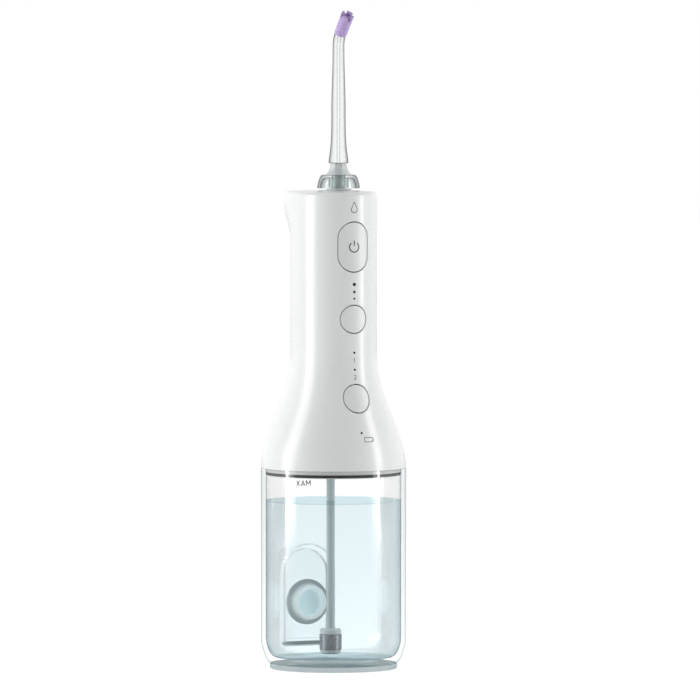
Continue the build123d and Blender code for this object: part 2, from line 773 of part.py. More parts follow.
# ---------------------------------------------------------------- charging port
back_inner = housing_depth(port_height) - housing_wall
port_inner_y = motor_y + motor_radius + 0.8
port_top = port_height + port_half_height
bow = 1 - sqrt(1 - (port_half_width / housing_half_width(port_top)) ** 2)
port_face_y = housing_depth(port_top) * (1 - bow) - port_cover_thickness - moving_gap
with BuildPart() as charging_socket:
    extrude(port_outline(port_inner_y, -1.2), amount=-(port_face_y - port_inner_y))
    extrude(front_disc(port_inner_y + 1.2, 2.75, port_height), amount=-tank_radius, mode=Mode.SUBTRACT)
    extrude(front_disc(port_inner_y + 1.0, 0.6, port_height), amount=-(port_face_y - port_inner_y - 2.0))
save(charging_socket, "charging_socket")

with BuildPart() as port_bezel:
    extrude(port_outline(back_inner - 2.6, 1.2), amount=-tank_radius)
    add(hollow_solid.moved(Location((0, -0.1, 0))), mode=Mode.INTERSECT)
    extrude(port_outline(back_inner - 4.0, -1.15), amount=-tank_radius, mode=Mode.SUBTRACT)
save(port_bezel, "port_bezel")

with BuildPart() as port_cover:
    extrude(port_outline(0, 0), amount=-tank_radius)
    add(housing_outside, mode=Mode.INTERSECT)
    add(housing_outside.moved(Location((0, -port_cover_thickness, 0))), mode=Mode.SUBTRACT)
    add(port_barrel(0))
save(port_cover, "port_cover")

# ---------------------------------------------------------------- drive
with BuildPart() as pinion_blank:
    extrude(gear_outline(pinion_teeth, gear_bottom, pi / 2), amount=gear_thickness)
    extrude(disc(gear_bottom, shaft_radius + press_gap), amount=gear_thickness, mode=Mode.SUBTRACT)
with BuildPart() as motor_pinion:
    add(pinion_blank.part.moved(Location((0, motor_y, 0))))
save(motor_pinion, "motor_pinion")

with BuildPart() as motor_shaft:
    extrude(disc(gear_bottom, shaft_radius, y=motor_y), amount=deck_top - 0.9 - gear_bottom)
save(motor_shaft, "motor_shaft")

# A tooth of the pinion points at +Y, away from the gear, so with an even number of teeth
# another points at the gear, and the gear has a gap there.
gear_phase = pi / 2 + pi / gear_teeth
with BuildPart() as gear_blank:
    extrude(gear_outline(gear_teeth, gear_bottom, gear_phase), amount=gear_thickness)
    extrude(disc(gear_bottom + gear_web, shaft_radius + pin_gap), amount=gear_thickness,
            mode=Mode.SUBTRACT)
    with BuildSketch(Plane.XY.offset(gear_bottom)):
        with PolarLocations(5.6, 6):
            Circle(1.5)
    extrude(amount=gear_thickness, mode=Mode.SUBTRACT)
    extrude(disc(rod_bottom, crank_pin_radius, x=crank_throw), amount=rod_thickness + rod_drop)
with BuildPart() as crank_gear:
    add(gear_blank.part.moved(Location((0, gear_y, 0))))
save(crank_gear, "crank_gear")

with BuildPart() as gear_axle:
    extrude(disc(gear_bottom + gear_web + 0.1, shaft_radius, y=gear_y),
            amount=deck_top - gear_bottom - gear_web - 0.1)
save(gear_axle, "gear_axle")

with BuildPart() as connecting_rod:
    extrude(disc(rod_bottom, 2.7, crank_throw, gear_y), amount=rod_thickness)
    extrude(disc(rod_bottom, eye_radius, crank_throw, wrist_y), amount=rod_thickness)
    extrude(slab(rod_bottom, crank_throw - 1.5, crank_throw + 1.5, gear_y, wrist_y), amount=rod_thickness)
    extrude(disc(rod_bottom, crank_pin_radius + pin_gap, crank_throw, gear_y), amount=rod_thickness,
            mode=Mode.SUBTRACT)
    extrude(disc(rod_bottom, eye_bore_radius, crank_throw, wrist_y), amount=rod_thickness,
            mode=Mode.SUBTRACT)
save(connecting_rod, "connecting_rod")

# ---------------------------------------------------------------- pump
piston_radius = pump_bore_radius - piston_gap
cheek_gap = rod_thickness / 2 + moving_gap
with BuildPart() as piston:
    extrude(front_disc(piston_front, piston_radius, pump_z), amount=-piston_length)
    groove_start = piston_front + seal_groove_start
    extrude(front_disc(groove_start, piston_radius + 1, pump_z), amount=-seal_groove_width,
            mode=Mode.SUBTRACT)
    extrude(front_disc(groove_start, piston_radius - 0.8, pump_z), amount=-seal_groove_width)
    for side in (-1, 1):
        low = pump_z + cheek_gap if side > 0 else pump_z - cheek_gap - cheek_thickness
        extrude(slab(low, -cheek_half_width, cheek_half_width, wrist_y - 1.8, piston_front),
                amount=cheek_thickness)
        extrude(disc(low, wrist_pin_radius + press_gap, y=wrist_y), amount=cheek_thickness,
                mode=Mode.SUBTRACT)
save(piston, "piston")

with BuildPart() as piston_seal:
    extrude(front_disc(groove_start + 0.1, pump_bore_radius - 0.04, pump_z), amount=0.2 - seal_groove_width)
    extrude(front_disc(groove_start, piston_radius - 0.78, pump_z), amount=-seal_groove_width,
            mode=Mode.SUBTRACT)
save(piston_seal, "piston_seal")

with BuildPart() as wrist_pin:
    pin_low = pump_z - cheek_gap - cheek_thickness
    extrude(disc(pin_low, wrist_pin_radius, y=wrist_y), amount=2 * (cheek_gap + cheek_thickness))
save(wrist_pin, "wrist_pin")

pump_outer = pump_bore_radius + pump_wall
ports = ((-valve_x, pump_z - valve_drop), (valve_x, pump_z - valve_drop))
with BuildPart() as pump_cylinder:
    extrude(front_disc(pump_mouth, pump_outer, pump_z), amount=-(pump_back - pump_mouth))
    extrude(slab(plate_top, -4.5, 4.5, pump_mouth + 1.0, pump_back), amount=pump_z - plate_top - 3.0)
    extrude(front_disc(pump_mouth, pump_bore_radius, pump_z), amount=-(pump_chamber_end - pump_mouth),
            mode=Mode.SUBTRACT)
    for x, z in ports:
        extrude(front_disc(pump_chamber_end, 0.9, z, x), amount=-pump_end_thickness, mode=Mode.SUBTRACT)
save(pump_cylinder, "pump_cylinder")

head_back = pump_back + head_length
hose_level = plate_top + 2.1
with BuildPart() as pump_head:
    head_face = slab(plate_top + 0.2, -head_half_width, head_half_width, pump_back, head_back)
    extrude(head_face, amount=pump_z + 4.0 - plate_top)
    for x, z in ports:
        extrude(front_disc(pump_back, valve_seat_radius, z, x), amount=-2.4, mode=Mode.SUBTRACT)
    extrude(disc(pump_z + 4.2, hose_bore - fit_gap, x=valve_x, y=outlet_y), amount=3.0)
    extrude(disc(pump_z - valve_drop, nipple_bore, x=valve_x, y=outlet_y), amount=13.0, mode=Mode.SUBTRACT)
    with BuildSketch(Plane.YZ.offset(-head_half_width)):
        with Locations((outlet_y, hose_level)):
            Circle(hose_bore - fit_gap)
    extrude(amount=-1.5)
    with BuildSketch(Plane.YZ.offset(-head_half_width - 1.5)):
        with Locations((outlet_y, hose_level)):
            Circle(nipple_bore)
    extrude(amount=1.5 + head_half_width - valve_x, mode=Mode.SUBTRACT)
    extrude(disc(hose_level, nipple_bore, x=-valve_x, y=outlet_y), amount=pump_z - valve_drop - hose_level,
            mode=Mode.SUBTRACT)
save(pump_head, "pump_head")

with BuildPart() as pump_valves:
    for x, z in ports:
        with Locations((x, pump_back + 1.2, z)):
            Sphere(valve_ball_radius)
save(pump_valves, "pump_valves")

# ---------------------------------------------------------------- hoses
inlet_start = (-3.2, suction_y, hose_level)
inlet_hose = hose_tube([inlet_start, (inlet_side, suction_y, hose_level), (inlet_side, outlet_y, hose_level),
                        (-head_half_width - 0.1, outlet_y, hose_level)], 3.0)
save(inlet_hose, "inlet_hose")

seat_top = housing_top - housing_wall - 0.1
seat_height = housing_top - seat_drop
seat_radius = dial_radius - moving_gap
outlet_start = pump_z + 4.3
inlet_y = nozzle_y + 0.8
outlet_end = seat_height + seat_port_rise
outlet_hose = hose_tube([(valve_x, outlet_y, outlet_start), hose_foot, hose_bend,
                         (riser_x, 2.0, battery_bottom + 0.4),
                         (riser_x - 0.4, 1.0, seat_height - 16.0), (riser_x - 0.8, inlet_y, seat_height - 7.0),
                         (riser_x - 1.0, inlet_y, outlet_end), (seat_radius + 0.1, inlet_y, outlet_end)],
                        [4.0, 9.0, 12.0, 12.0, 7.0, 3.0])
save(outlet_hose, "outlet_hose")

# ---------------------------------------------------------------- nozzle seat and dial
dial_bottom = seat_height + 2.4
with BuildPart() as nozzle_seat:
    extrude(disc(seat_height, seat_radius, y=nozzle_y), amount=seat_top - seat_height)
    seat_plate = slab(seat_top - 3.0, -12.0, 12.0, nozzle_y - 8.0, nozzle_y + 20.0)
    extrude(seat_plate, amount=3.0)
    extrude(disc(dial_bottom - 0.2, socket_radius + fit_gap + 0.05, y=nozzle_y),
            amount=seat_top - dial_bottom + 0.2, mode=Mode.SUBTRACT)
    with BuildSketch(Plane.YZ.offset(seat_radius - 0.5)):
        with Locations((inlet_y, outlet_end)):
            Circle(hose_bore - fit_gap)
    extrude(amount=2.4)
    with BuildSketch(Plane.YZ):
        with Locations((inlet_y, outlet_end)):
            Circle(nipple_bore)
    extrude(amount=seat_radius + 2, mode=Mode.SUBTRACT)
    extrude(disc(outlet_end, 1.0, y=nozzle_y), amount=3.0, mode=Mode.SUBTRACT)
save(nozzle_seat, "nozzle_seat")

dial_flange_top = skirt_bottom - moving_gap
with BuildPart() as nozzle_dial:
    extrude(disc(dial_bottom, socket_radius, y=nozzle_y), amount=seat_top - dial_bottom)
    extrude(disc(seat_top, dial_radius, y=nozzle_y), amount=dial_flange_top - seat_top)
    extrude(disc(dial_bottom, shank_radius + pin_gap, y=nozzle_y), amount=dial_flange_top - dial_bottom,
            mode=Mode.SUBTRACT)
    fillet(nozzle_dial.edges().group_by(Axis.Z)[-1].sort_by(SortBy.RADIUS)[-1], radius=0.6)
save(nozzle_dial, "nozzle_dial")

# ---------------------------------------------------------------- nozzle
skirt_top = skirt_bottom + skirt_height
sleeve_top = skirt_top + sleeve_height
stem_foot = sleeve_top + 0.4
bend_start = stem_foot + stem_length
shank_bottom = dial_flange_top - shank_length + 0.6
bend = radians(stem_bend_angle)
bend_end = (0, nozzle_y - stem_bend_radius * (1 - cos(bend)), bend_start + stem_bend_radius * sin(bend))
tip_plane = Plane(origin=bend_end, x_dir=(1, 0, 0), z_dir=(0, -sin(bend), cos(bend)))
bend_plane = Plane(origin=(0, nozzle_y, bend_start), x_dir=(1, 0, 0), z_dir=(0, 0, 1))


def bent_rod(radius):
    """The bent part of the stem, or of its bore, as a rod of one radius."""
    with BuildPart() as rod:
        with BuildLine(Plane.YZ):
            half = bend / 2
            middle = (nozzle_y - stem_bend_radius * (1 - cos(half)), bend_start + stem_bend_radius * sin(half))
            ThreePointArc((nozzle_y, bend_start), middle, bend_end[1:])
        with BuildSketch(bend_plane):
            Circle(radius)
        sweep()
    return rod.part


with BuildPart() as nozzle_stem:
    with BuildSketch(Plane.XZ.offset(-nozzle_y)):
        with BuildLine():
            Polyline((0, shank_bottom), (shank_radius - 0.4, shank_bottom), (shank_radius, shank_bottom + 0.4),
                     (shank_radius, shank_bottom + 2.4), (shank_radius - 0.7, shank_bottom + 2.4),
                     (shank_radius - 0.7, shank_bottom + 3.6), (shank_radius, shank_bottom + 3.6),
                     (shank_radius, skirt_bottom), (neck_radius, skirt_bottom), (neck_radius, stem_foot),
                     (stem_base_radius - 0.5, stem_foot), (stem_base_radius, stem_foot + 0.5))
            Spline((stem_base_radius, stem_foot + 0.5), (stem_waist_radius, stem_foot + stem_waist_rise),
                   (3.3, stem_foot + stem_length / 2), (stem_top_radius, bend_start),
                   tangents=((-0.12, 1), (0, 1)))
            Polyline((stem_top_radius, bend_start), (0, bend_start), (0, shank_bottom))
        make_face()
    revolve(axis=Axis(origin=(0, nozzle_y, 0), direction=(0, 0, 1)))
    add(bent_rod(stem_top_radius))
    with BuildSketch(tip_plane):
        Circle(peg_radius)
    extrude(amount=peg_length)
    extrude(disc(shank_bottom, bore_radius, y=nozzle_y), amount=bend_start - shank_bottom, mode=Mode.SUBTRACT)
    add(bent_rod(bore_radius), mode=Mode.SUBTRACT)
    with BuildSketch(tip_plane):
        Circle(bore_radius)
    extrude(amount=peg_length, mode=Mode.SUBTRACT)
save(nozzle_stem, "nozzle_stem")

with BuildPart() as nozzle_tip:
    with BuildSketch(tip_plane):
        Circle(tip_base_radius)
    with BuildSketch(tip_plane.offset(tip_length)):
        Circle(tip_end_radius)
    loft()
    fillet(nozzle_tip.edges().sort_by(Axis.Z)[0], radius=0.3)
    with BuildSketch(tip_plane):
        Circle(peg_radius + press_gap)
    extrude(amount=peg_length + 0.2, mode=Mode.SUBTRACT)
    with BuildSketch(tip_plane):
        Circle(bore_radius)
    extrude(amount=tip_length, mode=Mode.SUBTRACT)
    with BuildSketch(tip_plane.offset(tip_length - tip_notch_depth)):
        with PolarLocations(0, 2):
            Rectangle(tip_notch_width, 3 * tip_end_radius)
            Rectangle(3 * tip_end_radius, tip_notch_width)
        Circle(tip_end_radius - 1.3)
    extrude(amount=2 * tip_notch_depth, mode=Mode.SUBTRACT)
save(nozzle_tip, "nozzle_tip")

with BuildPart() as nozzle_skirt:
    with BuildSketch(Plane.XZ.offset(-nozzle_y)):
        with BuildLine():
            Polyline((skirt_bottom_radius - skirt_wall, skirt_bottom), (skirt_bottom_radius, skirt_bottom))
            Spline((skirt_bottom_radius, skirt_bottom), (9.3, skirt_bottom + 3.2),
                   (skirt_top_radius, skirt_top), tangents=((0, 1), (-1, 0.5)))
            Polyline((skirt_top_radius, skirt_top), (neck_radius + press_gap, skirt_top),
                     (neck_radius + press_gap, skirt_bottom + 0.3), (neck_radius + 1.4, skirt_bottom + 0.3),
                     (neck_radius + 1.4, skirt_top - skirt_wall), (skirt_top_radius - 0.9, skirt_top - skirt_wall))
            Spline((skirt_top_radius - 0.9, skirt_top - skirt_wall), (8.1, skirt_bottom + 3.0),
                   (skirt_bottom_radius - skirt_wall, skirt_bottom), tangents=((1, -0.5), (0, -1)))
        make_face()
    revolve(axis=Axis(origin=(0, nozzle_y, 0), direction=(0, 0, 1)))
save(nozzle_skirt, "nozzle_skirt")

with BuildPart() as nozzle_sleeve:
    with BuildSketch(Plane.XZ.offset(-nozzle_y)):
        with BuildLine():
            Polyline((neck_radius + press_gap, skirt_top + 0.05), (sleeve_bottom_radius, skirt_top + 0.05))
            Spline((sleeve_bottom_radius, skirt_top + 0.05), (sleeve_top_radius + 0.8, skirt_top + 1.9),
                   (sleeve_top_radius, sleeve_top), tangents=((-0.6, 1), (0, 1)))
            Polyline((sleeve_top_radius, sleeve_top), (neck_radius + press_gap, sleeve_top),
                     (neck_radius + press_gap, skirt_top + 0.05))
        make_face()
    revolve(axis=Axis(origin=(0, nozzle_y, 0), direction=(0, 0, 1)))
save(nozzle_sleeve, "nozzle_sleeve")

with BuildPart() as nozzle_seal:
    extrude(disc(shank_bottom + 2.5, shank_radius + 0.04, y=nozzle_y, bore=shank_radius - 0.68), amount=1.0)
save(nozzle_seal, "nozzle_seal")
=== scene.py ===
from math import cos, pi, radians, sin

import bmesh
import bpy
import numpy as np
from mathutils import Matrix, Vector


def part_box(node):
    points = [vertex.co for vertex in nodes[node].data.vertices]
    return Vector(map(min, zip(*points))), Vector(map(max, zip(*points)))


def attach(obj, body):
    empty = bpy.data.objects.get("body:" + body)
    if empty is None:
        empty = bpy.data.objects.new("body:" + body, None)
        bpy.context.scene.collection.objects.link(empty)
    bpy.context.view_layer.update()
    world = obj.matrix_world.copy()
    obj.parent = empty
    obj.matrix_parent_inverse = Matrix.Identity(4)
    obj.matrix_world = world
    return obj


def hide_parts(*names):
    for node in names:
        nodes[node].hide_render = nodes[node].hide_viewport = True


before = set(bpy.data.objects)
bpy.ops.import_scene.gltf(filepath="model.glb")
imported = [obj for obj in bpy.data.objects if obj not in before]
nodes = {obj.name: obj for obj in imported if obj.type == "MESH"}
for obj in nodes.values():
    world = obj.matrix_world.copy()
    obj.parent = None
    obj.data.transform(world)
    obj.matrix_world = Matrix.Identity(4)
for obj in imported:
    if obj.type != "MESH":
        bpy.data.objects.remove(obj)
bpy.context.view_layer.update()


# ---------------------------------------------------------------------------- Housing
# The grip is one hollow moulding in white ABS: round where it meets the tank, oval at the
# neck, with a lip at the back of its top for the hand. It is gloss polished, so it shows
# long soft reflections. Button holes, the nozzle hole and the port hole go through it.
mm = 0.001
housing_low, housing_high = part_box("housing")
tank_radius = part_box("reservoir_shell")[1].x
wall = 2.2 * mm
neck_half_width = 19.7 * mm
neck_half_depth = 22.9 * mm
flare_height = 57.0 * mm
lip_reach = 7.0 * mm
lip_height = 23.0 * mm
lip_rise = 17.0 * mm
lip_squareness = 0.2
flare_lateness = 1.17
moving_gap = 0.3 * mm
top_round = 2.0 * mm
dome_rise = 0.6 * mm
front = -pi / 2
back = pi / 2


def smooth_mesh(name, grids):
    """A mesh from grids of points, sewn where their edges meet.

    Rows and columns of a grid are joined by quads, and the whole is turned outwards.
    """
    points, quads, start = [], [], 0
    for grid in grids:
        rows, columns = grid.shape[:2]
        index = start + np.arange(rows * columns).reshape(rows, columns)
        corners = (index[:-1, :-1], index[:-1, 1:], index[1:, 1:], index[1:, :-1])
        quads.append(np.stack(corners, -1).reshape(-1, 4))
        points.append(grid.reshape(-1, 3))
        start += rows * columns
    mesh = bpy.data.meshes.new(name)
    mesh.from_pydata(np.concatenate(points), [], np.concatenate(quads))
    sewn = bmesh.new()
    sewn.from_mesh(mesh)
    bmesh.ops.remove_doubles(sewn, verts=sewn.verts, dist=0.002 * mm)
    bmesh.ops.dissolve_degenerate(sewn, edges=sewn.edges, dist=0.001 * mm)
    bmesh.ops.recalc_face_normals(sewn, faces=sewn.faces)
    sewn.to_mesh(mesh)
    sewn.free()
    mesh.shade_smooth()
    piece = bpy.data.objects.new(name, mesh)
    bpy.context.scene.collection.objects.link(piece)
    return piece


def crease(piece, degrees):
    """Marks the edges that turn by more than an angle as sharp, so that they shade as edges."""
    piece.data.set_sharp_from_angle(angle=radians(degrees))


def flare(z):
    """How far the housing has widened towards the tank, from 0 to 1: half a cosine wave, a little late."""
    down = np.clip((housing_low.z + flare_height - z) / flare_height, 0, 1)
    return (1 - np.cos(pi * down**flare_lateness)) / 2


def lip(z):
    """How far the back lip has grown: a smooth step from 0 to 1."""
    up = np.clip((z - housing_high.z + lip_height) / lip_rise, 0, 1)
    return up * up * (3 - 2 * up)


def housing_skin(turn, z, inset=0.0):
    """A point of the housing's surface at a turn round the axis and a height.

    The front half is half an ellipse. The back half reaches further by the lip, and its
    cosine and sine are raised to a power under one, which squares it off.
    """
    half_width = neck_half_width + (tank_radius - neck_half_width) * flare(z) - inset
    half_depth = neck_half_depth + (tank_radius - neck_half_depth) * flare(z) - inset
    across, along = np.cos(turn), np.sin(turn)
    square = np.where(along > 0, 1 - lip_squareness * lip(z), 1.0)
    reach = np.where(along > 0, lip_reach * lip(z), 0.0)
    x = half_width * np.sign(across) * np.abs(across) ** square
    y = (half_depth + reach) * np.sign(along) * np.abs(along) ** square
    return np.stack((x, y, z + 0 * x), -1)


def flat_to_turn(x, z, side, inset=0.0):
    """The turn at which the housing's front or back has a given x at a height."""
    half_width = neck_half_width + (tank_radius - neck_half_width) * flare(z) - inset
    return side + np.arcsin(np.clip(x / half_width, -1, 1)) * (1 if side < 0 else -1)


def capsule(angle, half_width, half_length):
    """Distance from the centre to the edge of an upright capsule, along an angle in its plane.

    Rays meet its straight sides up to the height where the round ends start, and above
    that the half circles.
    """
    straight = half_length - half_width
    along, up = np.abs(np.cos(angle)), np.abs(np.sin(angle))
    side = half_width / np.maximum(along, 1e-9)
    cap = straight * up + np.sqrt(np.maximum(half_width**2 - (straight * along) ** 2, 0))
    return np.where(side * up <= straight, side, cap)


def window_border(turns, heights):
    """The points of a rectangular window's edge in order, as turns and heights."""
    turn = np.concatenate((turns[:-1], np.full(len(heights) - 1, turns[-1]), turns[:0:-1],
                           np.full(len(heights), turns[0])))
    height = np.concatenate((np.full(len(turns) - 1, heights[0]), heights[:-1],
                             np.full(len(turns) - 1, heights[-1]), heights[::-1]))
    return turn, height


def pierced(outline, centre, side, border, edge_round=0.3 * mm, depth=wall):
    """Rings from a window's edge on the outside, through a hole, to the same edge inside.

    Each ring blends the window's edge with the hole's outline. The hole's outer edge is
    rounded by a quarter circle.
    """
    turn, height = border
    angle = np.arctan2(height - centre, housing_skin(turn, height)[:, 0])
    edge = outline(angle)
    hole_x, hole_z = edge * np.cos(angle), edge * np.sin(angle)
    rings = []
    for blend in (1, 0.8, 0.6, 0.42, 0.28, 0.17, 0.09, 0.03):
        grown = 1 + edge_round / edge
        z = centre + hole_z * grown * (1 - blend) + (height - centre) * blend
        start = flat_to_turn(hole_x * grown, z, side)
        rings.append(housing_skin(start * (1 - blend) + turn * blend, z))
    for step in range(5):
        roll = step / 4 * pi / 2
        grown = 1 + edge_round * (1 - sin(roll)) / edge
        z = centre + hole_z * grown
        ring = housing_skin(flat_to_turn(hole_x * grown, z, side), z)
        ring[:, 1] -= np.sign(side) * edge_round * (1 - cos(roll))
        rings.append(ring)
    for blend in (0, 0.1, 0.3, 0.6, 1):
        z = centre + hole_z * (1 - blend) + (height - centre) * blend
        start = flat_to_turn(hole_x, z, side, depth)
        rings.append(housing_skin(start * (1 - blend) + turn * blend, z, depth))
    return np.stack(rings)


button_gap = 0.45 * mm
front_reach, back_reach = radians(33), radians(24)
front_columns, side_columns, back_columns = 26, 36, 16
front_turns = np.linspace(front - front_reach, front + front_reach, front_columns + 1)
back_turns = np.linspace(back - back_reach, back + back_reach, back_columns + 1)
gap_turns = (np.linspace(front + front_reach, back - back_reach, side_columns + 1)[1:-1],
             np.linspace(back + back_reach, 1.5 * pi - front_reach, side_columns + 1)[1:-1])
all_turns = np.concatenate((front_turns, gap_turns[0], back_turns, gap_turns[1], front_turns[:1] + 2 * pi))


def button_size(name):
    """Centre height, half width and half length of a button's face, from its node."""
    low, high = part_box(name)
    flange = 1.0 * mm
    return (low.z + high.z) / 2, (high.x - low.x) / 2 - flange, (high.z - low.z) / 2 - flange


windows = []
for name in ("mode_button", "level_button", "power_button"):
    centre, half_width, half_length = button_size(name)
    windows.append((name, centre, half_width + button_gap, half_length + button_gap))
port_low, port_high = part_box("port_cover")
port_half_height = 4.6 * mm
port_centre = port_high.z - port_half_height
port_end_gap, port_corner = 0.75 * mm, 2.3 * mm
port_half = ((port_high.x - port_low.x) / 2 + moving_gap, port_half_height + port_end_gap)


def rounded_box(angle, half_width, half_height, corner):
    """Distance from the centre to the edge of a rounded rectangle, along an angle.

    A point moves out along the ray until the signed distance to the shape is zero.
    """
    along, up = np.abs(np.cos(angle)), np.abs(np.sin(angle))
    reach = np.minimum(half_width / np.maximum(along, 1e-9), half_height / np.maximum(up, 1e-9))
    for _ in range(30):
        over_x = np.maximum(reach * along - half_width + corner, 0)
        over_z = np.maximum(reach * up - half_height + corner, 0)
        reach = reach - np.maximum(np.hypot(over_x, over_z) - corner, 0) * 0.7
    return reach


window_margin = 3.0 * mm
row_spacing = 1.9 * mm
edges = [housing_low.z]
for name, centre, half_width, half_length in windows:
    edges += [centre - half_length - window_margin, centre + half_length + window_margin]
body_top = housing_high.z - top_round - dome_rise
edges.append(body_top)
heights = [np.array(edges[:1])]
for low, high in zip(edges[:-1], edges[1:]):
    rows = max(2, int(round((high - low) / row_spacing)))
    heights.append(np.linspace(low, high, rows + 1)[1:])
heights = np.concatenate(heights)


def row_of(z):
    """The row of the housing's grid nearest to a height."""
    return int(np.argmin(np.abs(heights - z)))


cuts = []
for name, centre, half_width, half_length in windows:
    low = row_of(centre - half_length - window_margin)
    high = row_of(centre + half_length + window_margin)
    cuts.append((0, front_columns, low, high, front, centre,
                 lambda angle, w=half_width, h=half_length: capsule(angle, w, h)))
back_start = front_columns + side_columns
low = row_of(port_centre - port_half[1] - window_margin)
high = row_of(port_centre + port_half[1] + window_margin)
cuts.append((back_start, back_start + back_columns, low, high, back, port_centre,
             lambda angle: rounded_box(angle, *port_half, port_corner)))
kept = np.ones((len(heights) - 1, len(all_turns) - 1), bool)
for left, right, low, high, *_ in cuts:
    kept[low:high, left:right] = False
grids = []
for inset in (0.0, wall):
    skin = housing_skin(all_turns[None, :], heights[:, None], inset)
    for row in range(len(heights) - 1):
        ends = np.flatnonzero(np.diff(np.concatenate(([0], kept[row].astype(int), [0]))))
        for first, last in ends.reshape(-1, 2):
            grids.append(skin[row:row + 2, first:last + 1])
for left, right, low, high, side, centre, outline in cuts:
    border = window_border(all_turns[left:right + 1], heights[low:high + 1])
    grids.append(pierced(outline, centre, side, border))

nozzle_y = (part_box("nozzle_skirt")[0].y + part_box("nozzle_skirt")[1].y) / 2
dial_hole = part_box("nozzle_dial")[1].x + moving_gap
rim, rim_steps = [], 6
for step in range(rim_steps + 1):
    roll = step / rim_steps * pi / 2
    z = body_top + top_round * sin(roll)
    ring = housing_skin(all_turns, np.full_like(all_turns, body_top), top_round * (1 - cos(roll)))
    ring[:, 2] = z
    rim.append(ring)
hole = np.stack((dial_hole * np.cos(all_turns), nozzle_y + dial_hole * np.sin(all_turns),
                 np.full_like(all_turns, housing_high.z)), -1)
for blend in np.linspace(0, 1, 15)[1:]:
    ring = rim[rim_steps] * (1 - blend) + hole * blend
    ring[:, 2] = body_top + top_round + dome_rise * (1 - (1 - blend) ** 2)
    rim.append(ring)
under = housing_skin(all_turns, np.full_like(all_turns, body_top), wall)
ceiling = hole.copy()
ceiling[:, 2] = housing_high.z - wall
rim.append(ceiling)
for blend in np.linspace(0, 1, 6)[1:]:
    rim.append(ceiling * (1 - blend) + under * blend)
grids.append(np.stack(rim))
foot_heights = np.full_like(all_turns, heights[0])
grids.append(np.stack((housing_skin(all_turns, foot_heights, wall), housing_skin(all_turns, foot_heights))))
housing = smooth_mesh("white_housing", grids)
crease(housing, 50)


def linear(code):
    """An sRGB hex colour as linear red, green, blue and alpha."""
    parts = [int(code[at:at + 2], 16) / 255 for at in (1, 3, 5)]
    return (*[part / 12.92 if part <= 0.04045 else ((part + 0.055) / 1.055) ** 2.4 for part in parts], 1.0)


def add_node(material, kind, settings=(), **links):
    """A node in a material, with its settings and the sockets that feed it."""
    node = material.node_tree.nodes.new(kind)
    for name, value in dict(settings).items():
        if name in node.inputs:
            node.inputs[name].default_value = value
        else:
            setattr(node, name, value)
    for name, socket in links.items():
        material.node_tree.links.new(socket, node.inputs[name.replace("_", " ")])
    return node


def new_material(name, settings):
    """A material whose one shader has these settings, and that shader."""
    material = bpy.data.materials.new(name)
    material.use_nodes = True
    shader = material.node_tree.nodes["Principled BSDF"]
    for socket, value in settings.items():
        shader.inputs[socket].default_value = value
    return material, shader


def give(piece, material):
    """Gives a piece one material."""
    piece.data.materials.clear()
    piece.data.materials.append(material)


# Gloss-polished ABS: a faint orange peel of about 6 mm from the moulding's shrinkage, and
# a fine 0.5 mm unevenness of polish that varies its gloss.
white_abs, shader = new_material("white_ABS_gloss_moulded", {
    "Base Color": linear("#f2f4f3"), "IOR": 1.53, "Coat Weight": 0.15, "Coat Roughness": 0.08})
place = add_node(white_abs, "ShaderNodeTexCoord")
peel = add_node(white_abs, "ShaderNodeTexNoise", {"Scale": 1 / (6 * mm), "Detail": 1.0},
                Vector=place.outputs["Object"])
polish = add_node(white_abs, "ShaderNodeTexNoise", {"Scale": 1 / (0.5 * mm), "Detail": 2.0},
                  Vector=place.outputs["Object"])
gloss = add_node(white_abs, "ShaderNodeMapRange", {"To Min": 0.22, "To Max": 0.31},
                 Value=polish.outputs["Fac"])
bump = add_node(white_abs, "ShaderNodeBump", {"Strength": 0.05, "Distance": 0.05 * mm},
                Height=peel.outputs["Fac"])
white_abs.node_tree.links.new(gloss.outputs["Result"], shader.inputs["Roughness"])
white_abs.node_tree.links.new(bump.outputs["Normal"], shader.inputs["Normal"])
give(housing, white_abs)
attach(housing, "handle")
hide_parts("housing")


# ---------------------------------------------------------------------------- Buttons
# Three caps in ABS slide in the housing's front and press switches on the board. Their
# faces follow the housing's curve and their edges are rounded by 0.3 mm.
def button_cap(name, half_width, half_length, centre, edge_round=0.3 * mm, depth=3.0 * mm):
    """A cap as rings about its centre: out over its face, round its edge, and back inside.

    A ring is the capsule outline times a share from 0 to 1, laid on the housing's skin.
    """
    angle = np.linspace(0, 2 * pi, 145)
    edge = capsule(angle, half_width, half_length)
    rings = []
    for share, sink in [(share, 0) for share in (0, 0.2, 0.45, 0.7, 0.85, 0.95)]:
        reach = (edge - edge_round) * share
        rings.append((reach, sink))
    for step in range(6):
        roll = step / 5 * pi / 2
        rings.append((edge - edge_round * (1 - sin(roll)), edge_round * (1 - cos(roll))))
    rings += [(edge, depth), (edge * 0.9, depth), (edge * 0.5, depth), (edge * 0, depth)]
    points = []
    for reach, sink in rings:
        x, z = reach * np.cos(angle), centre + reach * np.sin(angle)
        ring = housing_skin(flat_to_turn(x, z, front), z)
        ring[:, 1] += sink
        points.append(ring)
    cap = smooth_mesh(name + "_cap", [np.stack(points)])
    crease(cap, 40)
    return cap


